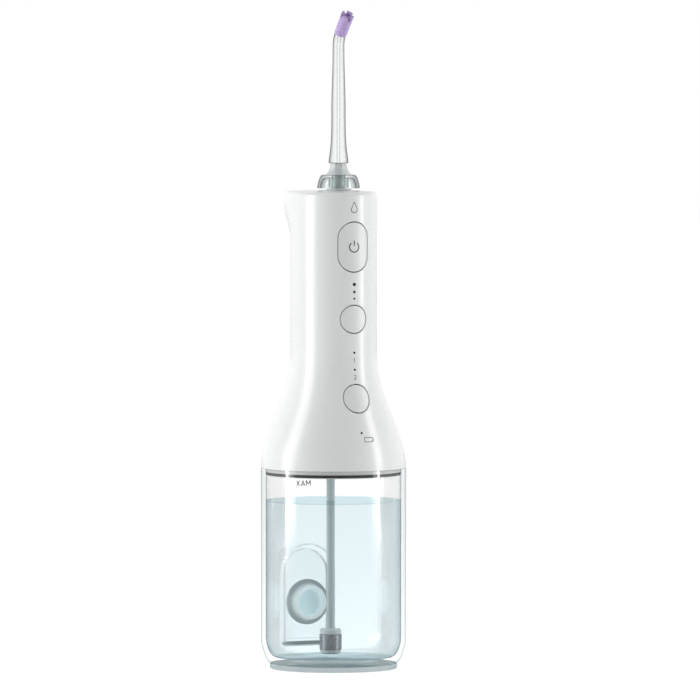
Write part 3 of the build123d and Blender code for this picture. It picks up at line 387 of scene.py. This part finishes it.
# Fine-textured ABS: a spark-eroded mould leaves a 0.15 mm grain, drawn at 0.3 mm so that
# it shows, which makes the caps less glossy and a little greyer than the housing.
button_abs, shader = new_material("grey_white_ABS_fine_texture", {
    "Base Color": linear("#eceeed"), "IOR": 1.53, "Coat Weight": 0.1, "Coat Roughness": 0.2})
place = add_node(button_abs, "ShaderNodeTexCoord")
grain = add_node(button_abs, "ShaderNodeTexNoise", {"Scale": 1 / (0.3 * mm), "Detail": 1.0},
                 Vector=place.outputs["Object"])
gloss = add_node(button_abs, "ShaderNodeMapRange", {"To Min": 0.3, "To Max": 0.42},
                 Value=grain.outputs["Fac"])
bump = add_node(button_abs, "ShaderNodeBump", {"Strength": 0.12, "Distance": 0.03 * mm},
                Height=grain.outputs["Fac"])
button_abs.node_tree.links.new(gloss.outputs["Result"], shader.inputs["Roughness"])
button_abs.node_tree.links.new(bump.outputs["Normal"], shader.inputs["Normal"])
for name, centre, half_width, half_length in windows:
    cap = button_cap(name, half_width - button_gap, half_length - button_gap, centre)
    give(cap, button_abs)
    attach(cap, name)
    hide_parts(name)


# ---------------------------------------------------------------------------- Printed marks
# Pad-printed in dark grey ink: a power sign on the top button, a drop above it, a battery
# sign near the foot and a numeral under each mode light. The ink is 0.02 mm thick and
# starts 0.01 mm off the plastic, so that no two faces share a place.
ink, shader = new_material("grey_pad_printing_ink", {"Base Color": linear("#3a3d3e"), "IOR": 1.5})
place = add_node(ink, "ShaderNodeTexCoord")
speckle = add_node(ink, "ShaderNodeTexNoise", {"Scale": 1 / (0.2 * mm), "Detail": 2.0},
                   Vector=place.outputs["Object"])
fade = add_node(ink, "ShaderNodeMapRange", {"To Min": 0.38, "To Max": 0.55}, Value=speckle.outputs["Fac"])
ink.node_tree.links.new(fade.outputs["Result"], shader.inputs["Roughness"])


def stroke(x, z, width, lift=0.03 * mm, proud=0.02 * mm):
    """A printed line: a strip along a path of x and z, laid on the housing's front.

    Each side of the strip is the path moved half its width along its normal.
    """
    along_x, along_z = np.gradient(x), np.gradient(z)
    length = np.hypot(along_x, along_z)
    normal = np.stack((-along_z / length, along_x / length), -1) * width / 2
    sides = []
    for share, height in ((-1, 0), (-1, proud), (0, proud), (1, proud), (1, 0), (-1, 0)):
        side_x, side_z = x + normal[:, 0] * share, z + normal[:, 1] * share
        points = housing_skin(flat_to_turn(side_x, side_z, front), side_z)
        points[:, 1] -= lift + height - proud
        sides.append(points)
    return np.stack(sides)


def arc(centre_x, centre_z, radius, start, stop, steps=40):
    """x and z along a circular arc, in degrees."""
    angle = np.radians(np.linspace(start, stop, steps))
    return centre_x + radius * np.cos(angle), centre_z + radius * np.sin(angle)


power_centre = button_size("power_button")[0]
sign_radius, sign_line = 2.35 * mm, 0.5 * mm
bar_low, bar_high = power_centre + 0.5 * mm, power_centre + 3.0 * mm
sign = smooth_mesh("power_sign", [
    stroke(*arc(0, power_centre, sign_radius, 128, 412), sign_line),
    stroke(np.zeros(6), np.linspace(bar_low, bar_high, 6), sign_line)])
give(sign, ink)
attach(sign, "power_button")

numeral_half, thin_line = 0.95 * mm, 0.25 * mm
battery_sign_x, battery_sign_z = 3.2 * mm, housing_low.z + 14.5 * mm
half_x, half_z = 2.1 * mm, 1.0 * mm
one_z, two_z = housing_low.z + 51.0 * mm, housing_low.z + 43.2 * mm
drop_z, drop_radius = housing_high.z - 8.5 * mm, 1.5 * mm
box_x = np.array([-1, 1, 1, 1.25, 1.25, 1, 1, -1, -1]) * half_x + battery_sign_x
box_z = np.array([1, 1, 0.4, 0.4, -0.4, -0.4, -1, -1, 1]) * half_z + battery_sign_z
even = np.linspace(0, 8, 97)
corner = np.arange(9)
two_bow = arc(0, two_z + 0.45 * mm, 0.5 * mm, 160, -35, 20)
two_x = np.concatenate((two_bow[0], np.linspace(two_bow[0][-1], -0.5 * mm, 8)[1:],
                        np.linspace(-0.5, 0.55, 8)[1:] * mm))
two_z_line = np.concatenate((two_bow[1], np.linspace(two_bow[1][-1], two_z - numeral_half, 8)[1:],
                             np.full(7, two_z - numeral_half)))
drop_low = arc(0, drop_z, drop_radius, 150, 390, 40)
drop_tip = drop_z + 2.4 * drop_radius
drop_x = np.concatenate((np.linspace(0, drop_low[0][0], 10)[:-1], drop_low[0],
                         np.linspace(drop_low[0][-1], 0, 10)[1:]))
drop_line = np.concatenate((np.linspace(drop_tip, drop_low[1][0], 10)[:-1], drop_low[1],
                            np.linspace(drop_low[1][-1], drop_tip, 10)[1:]))
battery_sign = smooth_mesh("battery_sign_and_numerals", [
    stroke(np.interp(even, corner, box_x), np.interp(even, corner, box_z), 0.28 * mm),
    stroke(np.array([-0.35, -0.1, 0.1]) * mm, one_z + np.array([0.6, 0.8, 0.95]) * mm, thin_line),
    stroke(np.full(6, 0.1 * mm), np.linspace(one_z - numeral_half, one_z + numeral_half, 6), thin_line),
    stroke(two_x, two_z_line, thin_line), stroke(drop_x, drop_line, 0.3 * mm)])
give(battery_sign, ink)
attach(battery_sign, "handle")


# ---------------------------------------------------------------------------- Light dots
# The ends of the light guides show as small dark round dots in the housing's front. They
# are smoked polycarbonate, polished, and stand a hair proud of the white plastic.
smoked, shader = new_material("smoked_polycarbonate_polished", {
    "Base Color": linear("#2c3031"), "IOR": 1.58, "Coat Weight": 0.5})
place = add_node(smoked, "ShaderNodeTexCoord")
haze = add_node(smoked, "ShaderNodeTexNoise", {"Scale": 1 / (0.4 * mm), "Detail": 1.0},
                Vector=place.outputs["Object"])
gloss = add_node(smoked, "ShaderNodeMapRange", {"To Min": 0.1, "To Max": 0.22}, Value=haze.outputs["Fac"])
smoked.node_tree.links.new(gloss.outputs["Result"], shader.inputs["Roughness"])
dot_rise, level_step = 0.02 * mm, 0.05 * mm
guides = nodes["light_guides"]
corners = np.array([guides.matrix_world @ vertex.co for vertex in guides.data.vertices])
levels = np.unique(np.round(corners[:, 2] / level_step).astype(int)) * level_step
groups = np.split(levels, np.flatnonzero(np.diff(levels) > 1.0 * mm) + 1)
dots = []
for group in groups:
    near = (corners[:, 2] > group[0] - 0.1 * mm) & (corners[:, 2] < group[-1] + 0.1 * mm)
    centre = (corners[near, 2].min() + corners[near, 2].max()) / 2
    radius = (corners[near, 2].max() - corners[near, 2].min()) / 2
    turn = np.linspace(0, 2 * pi, 41)
    rings = []
    for share, lift in ((0, 1), (0.6, 1), (0.9, 0.8), (1, 0), (1, -20)):
        x, z = radius * share * np.cos(turn), centre + radius * share * np.sin(turn)
        ring = housing_skin(flat_to_turn(x, z, front), z)
        ring[:, 1] -= dot_rise * lift
        rings.append(ring)
    dots.append(np.stack(rings))
light_dots = smooth_mesh("light_dots", dots)
give(light_dots, smoked)
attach(light_dots, "handle")
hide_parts("light_guides")


# ---------------------------------------------------------------------------- Clear tank
# Injection-moulded clear copolyester: an open cup with a pocket in its back for the fill door, and a thick
# clear foot glued under it. Their edges are drawn grey-green, deeper as the surface turns away: partly the
# plastic's own tint seen along the wall, partly painted shade that stands in for the dark surroundings the
# clear walls bend into view.
def clear_material(name, centre, edge, power, roughness, haze, shine=0.55):
    """A see-through material: tinted by the angle it is seen at, glossy, and a little milky.

    The tint goes from centre to edge with the facing angle raised to a power. The edge colour is painted
    shade: the see-through part passes light straight, so this colour stands in for the dark surroundings
    that a clear wall bends into view at its edges, laid over any real tint of the material. The gloss
    follows Fresnel's law times shine, and haze is the share of the surface that is milky.
    """
    material, shader = new_material(name, {"Base Color": linear("#f4f8f8"), "Roughness": 0.6})
    place = add_node(material, "ShaderNodeTexCoord")
    flow = add_node(material, "ShaderNodeTexNoise", {"Scale": 1 / (9 * mm), "Detail": 2.0},
                    Vector=place.outputs["Object"])
    scuff = add_node(material, "ShaderNodeTexNoise", {"Scale": 1 / (0.6 * mm), "Detail": 2.0},
                     Vector=place.outputs["Object"])
    bump = add_node(material, "ShaderNodeBump", {"Strength": 0.04, "Distance": 0.05 * mm},
                    Height=flow.outputs["Fac"])
    facing = add_node(material, "ShaderNodeLayerWeight", {"Blend": 0.5})
    turned = add_node(material, "ShaderNodeMath", {"operation": "POWER"})
    turned.inputs[1].default_value = power
    tint = add_node(material, "ShaderNodeMix", {"data_type": "RGBA"})
    tint.inputs[6].default_value = linear(centre)
    tint.inputs[7].default_value = linear(edge)
    through = add_node(material, "ShaderNodeBsdfTransparent")
    gloss = add_node(material, "ShaderNodeBsdfGlossy", {"Color": linear("#ffffff")},
                     Normal=bump.outputs["Normal"])
    rough = add_node(material, "ShaderNodeMapRange", {"To Min": roughness * 0.7, "To Max": roughness * 1.3},
                     Value=scuff.outputs["Fac"])
    fresnel = add_node(material, "ShaderNodeFresnel", {"IOR": 1.5}, Normal=bump.outputs["Normal"])
    dimmed = add_node(material, "ShaderNodeMath", {"operation": "MULTIPLY"})
    dimmed.inputs[1].default_value = shine
    milky = add_node(material, "ShaderNodeMixShader")
    milky.inputs[0].default_value = haze
    both = add_node(material, "ShaderNodeMixShader")
    link = material.node_tree.links.new
    link(facing.outputs["Facing"], turned.inputs[0])
    link(turned.outputs[0], tint.inputs[0])
    link(tint.outputs[2], through.inputs["Color"])
    link(rough.outputs["Result"], gloss.inputs["Roughness"])
    link(fresnel.outputs[0], dimmed.inputs[0])
    link(through.outputs[0], milky.inputs[1])
    link(shader.outputs[0], milky.inputs[2])
    link(dimmed.outputs[0], both.inputs[0])
    link(milky.outputs[0], both.inputs[1])
    link(gloss.outputs[0], both.inputs[2])
    link(both.outputs[0], material.node_tree.nodes["Material Output"].inputs["Surface"])
    return material


clear_tank = clear_material("clear_copolyester_moulded", "#fefefe", "#a4b4b7", 7.0, 0.05, 0.003, 0.16)
give(nodes["reservoir_shell"], clear_tank)
clear_foot = clear_material("clear_copolyester_foot_moulded", "#f6fbfc", "#8fb0b6", 5.0, 0.05, 0.02, 0.7)
give(nodes["reservoir_base"], clear_foot)
clear_door = clear_material("clear_copolyester_door_moulded", "#fdfefe", "#93a3a6", 6.0, 0.06, 0.01)
give(nodes["fill_door"], clear_door)


# ---------------------------------------------------------------------------- Water
# The tank is filled almost to its mark with tap water. Water is the tank's contents, not
# a piece, and it is tinted a faint blue-green as in a deep glass.
# The water's edge colour deepens as its surface turns away: partly its own blue-green tint seen through
# more depth, partly painted shade for the dark surroundings bent into view at its sides.
water = clear_material("tap_water", "#f0f7f9", "#cfe4e8", 5.0, 0.02, 0.004, 0.2)
water_top = 78.3 * mm
water_gap = 0.08 * mm
tank_floor, tank_wall = 5.2 * mm, 2.3 * mm
floor_inset, corner_top = 4.9 * mm, 15.0 * mm
arch_top, arch_radius = 53.9 * mm, 11.15 * mm
backing_half_width, backing_front = 13.6 * mm, 26.8 * mm
ramp = 0.5 * mm
water_foot = tank_floor + water_gap
hollow_radius = tank_radius - tank_wall - water_gap
water_turns = np.linspace(0, 2 * pi, 193)


def water_ring(radius, z):
    """A ring of the water's outside, pressed flat at the back where the door's pocket is.

    Points whose x lies inside the pocket's width and whose z lies under its arch are
    moved in to the pocket's inner face, with a short ramp at the sides.
    """
    x, y = radius * np.cos(water_turns), radius * np.sin(water_turns)
    over = max(z - (arch_top - arch_radius), 0)
    half_here = np.sqrt(max(backing_half_width**2 - over**2, 0))
    inside = np.clip((half_here + ramp - np.abs(x)) / ramp, 0, 1) * (half_here > 0)
    limit = backing_front - water_gap
    y = np.where((y > limit) & (inside > 0), y * (1 - inside) + limit * inside, y)
    return np.stack((x, y, np.full_like(x, z)), -1)


# Rows lie half a millimetre apart beside the pocket, so that its arch comes out round.
water_levels = np.concatenate((np.linspace(water_foot, 14 * mm, 9), np.linspace(15 * mm, 57 * mm, 85),
                               np.linspace(58 * mm, water_top, 6)))
corner_rise = np.clip((corner_top - water_levels) / (corner_top - tank_floor), 0, 1)
rings = [water_ring(share * (hollow_radius - floor_inset), water_foot) for share in (0, 0.5)]
rings += [water_ring(hollow_radius - floor_inset * (1 - np.sqrt(np.maximum(1 - drop**2, 0))), level)
          for drop, level in zip(corner_rise, water_levels)]
rings.append(water_ring(hollow_radius, water_top + 0.35 * mm))
rings += [water_ring(hollow_radius - 0.5 * mm, water_top + 0.05 * mm)]
rings += [water_ring(share * (hollow_radius - 1.0 * mm), water_top) for share in (1, 0.6, 0.3, 0)]
water_body = smooth_mesh("water", [np.stack(rings)])
crease(water_body, 35)
give(water_body, water)
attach(water_body, "reservoir")


# ---------------------------------------------------------------------------- Fill mark
# The word MAX, pad-printed in grey on the tank's back wall, where it reads the right way
# round from behind and backwards through the tank from in front. The ink's face lies
# 0.01 mm under the wall's outside, so that it stays inside the tank's size.
mark_centre, mark_height, mark_line = 84.6 * mm, 2.6 * mm, 0.38 * mm
ink_depth, ink_thickness = 0.03 * mm, 0.02 * mm
letters = {"M": (((-1, -1), (-1, 1), (0, -0.4), (1, 1), (1, -1)), 1.0),
           "A": (((-1, -1), (0, 1), (1, -1)), 0.9),
           "bar": (((-0.5, -0.35), (0.5, -0.35)), 0.9), "X": (((-1, -1), (1, 1)),
                                                              0.85), "X2": (((-1, 1), (1, -1)), 0.85)}
strips = []
for name, offset in (("M", -2.7), ("A", 0.0), ("bar", 0.0), ("X", 2.6), ("X2", 2.6)):
    path, half_letter = letters[name]
    path = np.array(path, float)
    steps = np.linspace(0, len(path) - 1, 8 * (len(path) - 1) + 1)
    across = np.interp(steps, np.arange(len(path)), path[:, 0]) * half_letter * mm + offset * mm
    up = np.interp(steps, np.arange(len(path)), path[:, 1]) * mark_height / 2 + mark_centre
    along_x, along_z = np.gradient(across), np.gradient(up)
    length = np.hypot(along_x, along_z)
    sides = []
    for share, radius in ((-1, 0), (1, 0), (1, ink_thickness), (-1, ink_thickness), (-1, 0)):
        x = -(across - along_z / length * mark_line / 2 * share)
        z = up + along_x / length * mark_line / 2 * share
        sides.append(np.stack((x, np.sqrt((tank_radius - ink_depth + radius) ** 2 - x**2), z), -1))
    strips.append(np.stack(sides))
fill_mark = smooth_mesh("fill_mark", strips)
give(fill_mark, ink)
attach(fill_mark, "reservoir")


# ---------------------------------------------------------------------------- Inner pieces
# Everything else keeps its modelled shape and takes a material here: plain moulded
# plastics, rubbers, turned and plated metals, printed film, solder mask and silicone.
def textured_material(name, colour, second, grain, rough_low, rough_high, relief, metallic=0.0,
                      stretch=(1, 1, 1)):
    """An opaque material whose colour, gloss and relief follow one noise of a real grain size.

    stretch makes the grain longer along an axis, as turning or brushing does.
    """
    material, shader = new_material(name, {"Metallic": metallic, "IOR": 1.5})
    place = add_node(material, "ShaderNodeTexCoord")
    stretched = add_node(material, "ShaderNodeMapping", {"Scale": stretch}, Vector=place.outputs["Object"])
    noise = add_node(material, "ShaderNodeTexNoise", {"Scale": 1 / grain, "Detail": 3.0},
                     Vector=stretched.outputs["Vector"])
    tint = add_node(material, "ShaderNodeMix", {"data_type": "RGBA"})
    tint.inputs[6].default_value = linear(colour)
    tint.inputs[7].default_value = linear(second)
    gloss = add_node(material, "ShaderNodeMapRange", {"To Min": rough_low, "To Max": rough_high},
                     Value=noise.outputs["Fac"])
    bump = add_node(material, "ShaderNodeBump", {"Strength": 0.25, "Distance": relief},
                    Height=noise.outputs["Fac"])
    link = material.node_tree.links.new
    link(noise.outputs["Fac"], tint.inputs[0])
    link(tint.outputs[2], shader.inputs["Base Color"])
    link(gloss.outputs["Result"], shader.inputs["Roughness"])
    link(bump.outputs["Normal"], shader.inputs["Normal"])
    return material


# White ABS straight from a lightly textured mould: the plates and frames.
inner_abs = textured_material("white_ABS_moulded", "#dfe3e2", "#e9eceb", 0.5 * mm, 0.38, 0.5, 0.02 * mm)
# Natural acetal, self-lubricating, cut or moulded smooth: gears, rod, piston and cylinder.
acetal = textured_material("natural_acetal_moulded", "#e8e2cf", "#efeadb", 0.8 * mm, 0.28, 0.38, 0.01 * mm)
# Glass-filled black nylon: jack, switches and pump head.
black_nylon = textured_material("black_nylon_moulded", "#17181a", "#232426", 0.3 * mm, 0.45, 0.6, 0.02 * mm)
# Stainless steel turned on a lathe: fine rings round the upright axis, 0.1 mm apart.
turned_steel = textured_material("stainless_steel_turned", "#8b8d8f", "#b4b6b8", 1.2 * mm, 0.2, 0.34,
                                 0.01 * mm,
                                 1.0, (1, 1, 12))
# Zinc-plated deep-drawn steel: the motor's can.
plated_steel = textured_material("zinc_plated_steel_drawn", "#9ea2a5", "#b9bdc0", 2.5 * mm, 0.3, 0.42,
                                 0.01 * mm, 1.0)
# Nickel strip, rolled: bright, with long rolling marks.
nickel_strip = textured_material("nickel_strip_rolled", "#b8b4a9", "#cfcbc0", 0.6 * mm, 0.22, 0.34,
                                 0.005 * mm, 1.0,
                                 (1, 10, 1))
# Blue heat-shrink film over the cell: glossy, with soft wrinkles.
shrink_film = textured_material("blue_shrink_film", "#24507c", "#2d6091", 3.0 * mm, 0.25, 0.35, 0.08 * mm)
# Green solder mask on glass-epoxy: a fine weave under gloss.
solder_mask = textured_material("green_solder_mask", "#0c4a2b", "#11593a", 0.7 * mm, 0.25, 0.4, 0.02 * mm)
# Dark nitrile rubber, moulded matte: every seal.
nitrile = textured_material("dark_nitrile_rubber_moulded", "#2a2d2e", "#383b3c", 0.4 * mm, 0.55, 0.7,
                            0.03 * mm)
# Grey-white thermoplastic rubber: the cover over the charging port.
port_rubber = textured_material("grey_white_TPE_moulded", "#d5d9d8", "#dfe2e1", 0.35 * mm, 0.5, 0.62,
                                0.03 * mm)
# Translucent silicone: hoses, plug, valves and the suction tube.
silicone = textured_material("translucent_silicone_extruded", "#c3cdcd", "#d3dbdb", 1.0 * mm, 0.35, 0.5,
                             0.02 * mm)
for material, names in (
        (inner_abs, ("base_plate", "tube_collar", "filter_cap", "filter_body", "inner_frame",
                     "port_bezel", "nozzle_dial")),
        (acetal, ("pump_cylinder", "nozzle_seat", "crank_gear", "connecting_rod", "piston")),
        (black_nylon, ("charging_socket", "pump_head", "tact_switches")),
        (turned_steel, ("filter_weight", "frame_screws", "board_screws", "gear_axle", "motor_pinion",
                        "motor_shaft", "wrist_pin")),
        (plated_steel, ("motor",)), (nickel_strip, ("battery_tabs",)), (shrink_film, ("battery",)),
        (solder_mask, ("circuit_board",)), (nitrile, ("spigot_seal", "piston_seal", "nozzle_seal")),
        (port_rubber, ("port_cover",)),
        (silicone, ("suction_tube", "inlet_hose", "outlet_hose", "pump_valves", "indicator_leds"))):
    for name in names:
        give(nodes[name], material)


# The plug is milky silicone and the pin under the fill door is milky polypropylene, both
# moulded. They sit behind several clear walls and light is followed through only eight
# see-through faces, so a faint glow stands in for the daylight that would reach them.
for name, finish in (("fill_plug", "milky_silicone_plug_moulded"),
                     ("door_hinge_pin", "milky_polypropylene_pin_moulded")):
    milky = textured_material(finish, "#dfe8e9", "#ebf1f2", 0.8 * mm, 0.2, 0.3, 0.01 * mm)
    milky_shader = milky.node_tree.nodes["Principled BSDF"]
    milky_shader.inputs["Emission Color"].default_value = linear("#dce6e8")
    milky_shader.inputs["Emission Strength"].default_value = 0.35
    give(nodes[name], milky)


# ---------------------------------------------------------------------------- Nozzle
# A clear moulded stem with a fine bore down its middle, on a clear bell-shaped skirt with
# a frosted collar. The tip is soft purple rubber with a cross of slots in its end.
# The stem's edge colour is near black: painted shade that stands in for the dark surroundings its clear
# walls bend into view.
clear_stem = clear_material("clear_copolyester_stem_moulded", "#fcfdfd", "#101416", 1.7, 0.05, 0.004, 0.05)
give(nodes["nozzle_stem"], clear_stem)
# The stem's shank stands inside the collar, the skirt and the seat. Drawn clear, that many
# walls in a row go dark, so the faces under the collar's top take a plain milky finish.
shank_plastic = textured_material("milky_copolyester_shank_moulded", "#dde2e2", "#e9eded", 0.8 * mm, 0.2,
                                  0.3, 0.01 * mm)
stem_mesh = nodes["nozzle_stem"].data
stem_mesh.materials.append(shank_plastic)
shank_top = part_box("nozzle_sleeve")[1].z
for face in stem_mesh.polygons:
    face.material_index = int((nodes["nozzle_stem"].matrix_world @ face.center).z < shank_top)
# The skirt's dark grey edge colour is painted shade, standing in for the same dark surroundings seen
# through its clear walls.
clear_skirt = clear_material("clear_copolyester_skirt_moulded", "#fafcfc", "#39434a", 2.2, 0.05, 0.02, 0.12)
give(nodes["nozzle_skirt"], clear_skirt)
frosted = clear_material("frosted_copolyester_moulded", "#fafcfc", "#d9dfe0", 2.0, 0.35, 0.55)
give(nodes["nozzle_sleeve"], frosted)
purple = textured_material("purple_TPE_soft_moulded", "#b79fd4", "#c6b2e0", 0.5 * mm, 0.42, 0.55, 0.02 * mm)
purple_shader = purple.node_tree.nodes["Principled BSDF"]
purple_shader.inputs["Subsurface Weight"].default_value = 0.3
purple_shader.inputs["Subsurface Radius"].default_value = (1.5 * mm, 1.0 * mm, 1.8 * mm)
give(nodes["nozzle_tip"], purple)


# ---------------------------------------------------------------------------- Camera and light
# A long lens from the front left, a little above, so that upright lines stay upright.
target = Vector((0, 0, 0.1488))
azimuth, elevation, distance = radians(-25), radians(2.6), 3.9
view_width, left_of_middle = 326.9 * mm, 7.7055 * mm
cam_data = bpy.data.cameras.new("camera")
camera = bpy.data.objects.new("camera", cam_data)
bpy.context.scene.collection.objects.link(camera)
back_way = Vector((sin(azimuth) * cos(elevation), -cos(azimuth) * cos(elevation), sin(elevation)))
camera.location = target + back_way * distance
camera.rotation_mode = "QUATERNION"
camera.rotation_quaternion = (-back_way).to_track_quat("-Z", "Y")
cam_data.sensor_width = 36
cam_data.lens = cam_data.sensor_width * distance / view_width
cam_data.shift_x = left_of_middle / view_width
cam_data.clip_start, cam_data.clip_end = 0.1, 50
bpy.context.scene.camera = camera

scene = bpy.context.scene
scene.view_settings.view_transform = "Standard"
world = bpy.data.worlds.new("studio")
scene.world = world
world.use_nodes = True
sky = world.node_tree
background = sky.nodes["Background"]
background.inputs["Color"].default_value = (1, 1, 1, 1)
direction = sky.nodes.new("ShaderNodeTexCoord")
toward = sky.nodes.new("ShaderNodeVectorMath")
toward.operation = "DOT_PRODUCT"
toward.inputs[1].default_value = back_way
sky.links.new(direction.outputs["Generated"], toward.inputs[0])
ramp = sky.nodes.new("ShaderNodeMapRange")
ramp.inputs["From Min"].default_value = 1.0
ramp.inputs["From Max"].default_value = -0.8
ramp.inputs["To Min"].default_value = 0.16
ramp.inputs["To Max"].default_value = 1.0
sky.links.new(toward.outputs["Value"], ramp.inputs["Value"])
seen = sky.nodes.new("ShaderNodeLightPath")
white = sky.nodes.new("ShaderNodeMix")
white.data_type = "FLOAT"
sky.links.new(seen.outputs["Is Camera Ray"], white.inputs["Factor"])
sky.links.new(ramp.outputs["Result"], white.inputs["A"])
white.inputs["B"].default_value = 1.0
sky.links.new(white.outputs["Result"], background.inputs["Strength"])


def softbox(name, place, size, power, aim=(0, 0, 0.16)):
    """An area light at a place, turned to a point of the object."""
    data = bpy.data.lights.new(name, "AREA")
    data.shape = "RECTANGLE"
    data.size, data.size_y = size
    data.energy = power
    lamp = bpy.data.objects.new(name, data)
    bpy.context.scene.collection.objects.link(lamp)
    lamp.location = place
    lamp.rotation_mode = "QUATERNION"
    lamp.rotation_quaternion = (Vector(aim) - Vector(place)).to_track_quat("-Z", "Y")


softbox("left_softbox", (-0.95, 0.2, 0.3), (0.4, 1.0), 6.2)
softbox("right_softbox", (0.78, -0.62, 0.3), (0.25, 0.9), 4.6)

floor_mesh = bpy.data.meshes.new("floor")
floor_mesh.from_pydata([(-6, -6, 0), (6, -6, 0), (6, 6, 0), (-6, 6, 0)], [], [(0, 1, 2, 3)])
floor = bpy.data.objects.new("floor", floor_mesh)
bpy.context.scene.collection.objects.link(floor)
paper, shader = new_material("white_paper", {
    "Base Color": linear("#f0f0f0"), "Emission Color": linear("#ffffff")})
seen = add_node(paper, "ShaderNodeLightPath")
glow = add_node(paper, "ShaderNodeMath", {"operation": "MULTIPLY"})
glow.inputs[1].default_value = 0.5
fibre = add_node(paper, "ShaderNodeTexNoise", {"Scale": 400.0, "Detail": 2.0})
matte = add_node(paper, "ShaderNodeMapRange", {"To Min": 0.85, "To Max": 0.95}, Value=fibre.outputs["Fac"])
paper.node_tree.links.new(seen.outputs["Is Camera Ray"], glow.inputs[0])
paper.node_tree.links.new(glow.outputs[0], shader.inputs["Emission Strength"])
paper.node_tree.links.new(matte.outputs["Result"], shader.inputs["Roughness"])
give(floor, paper)
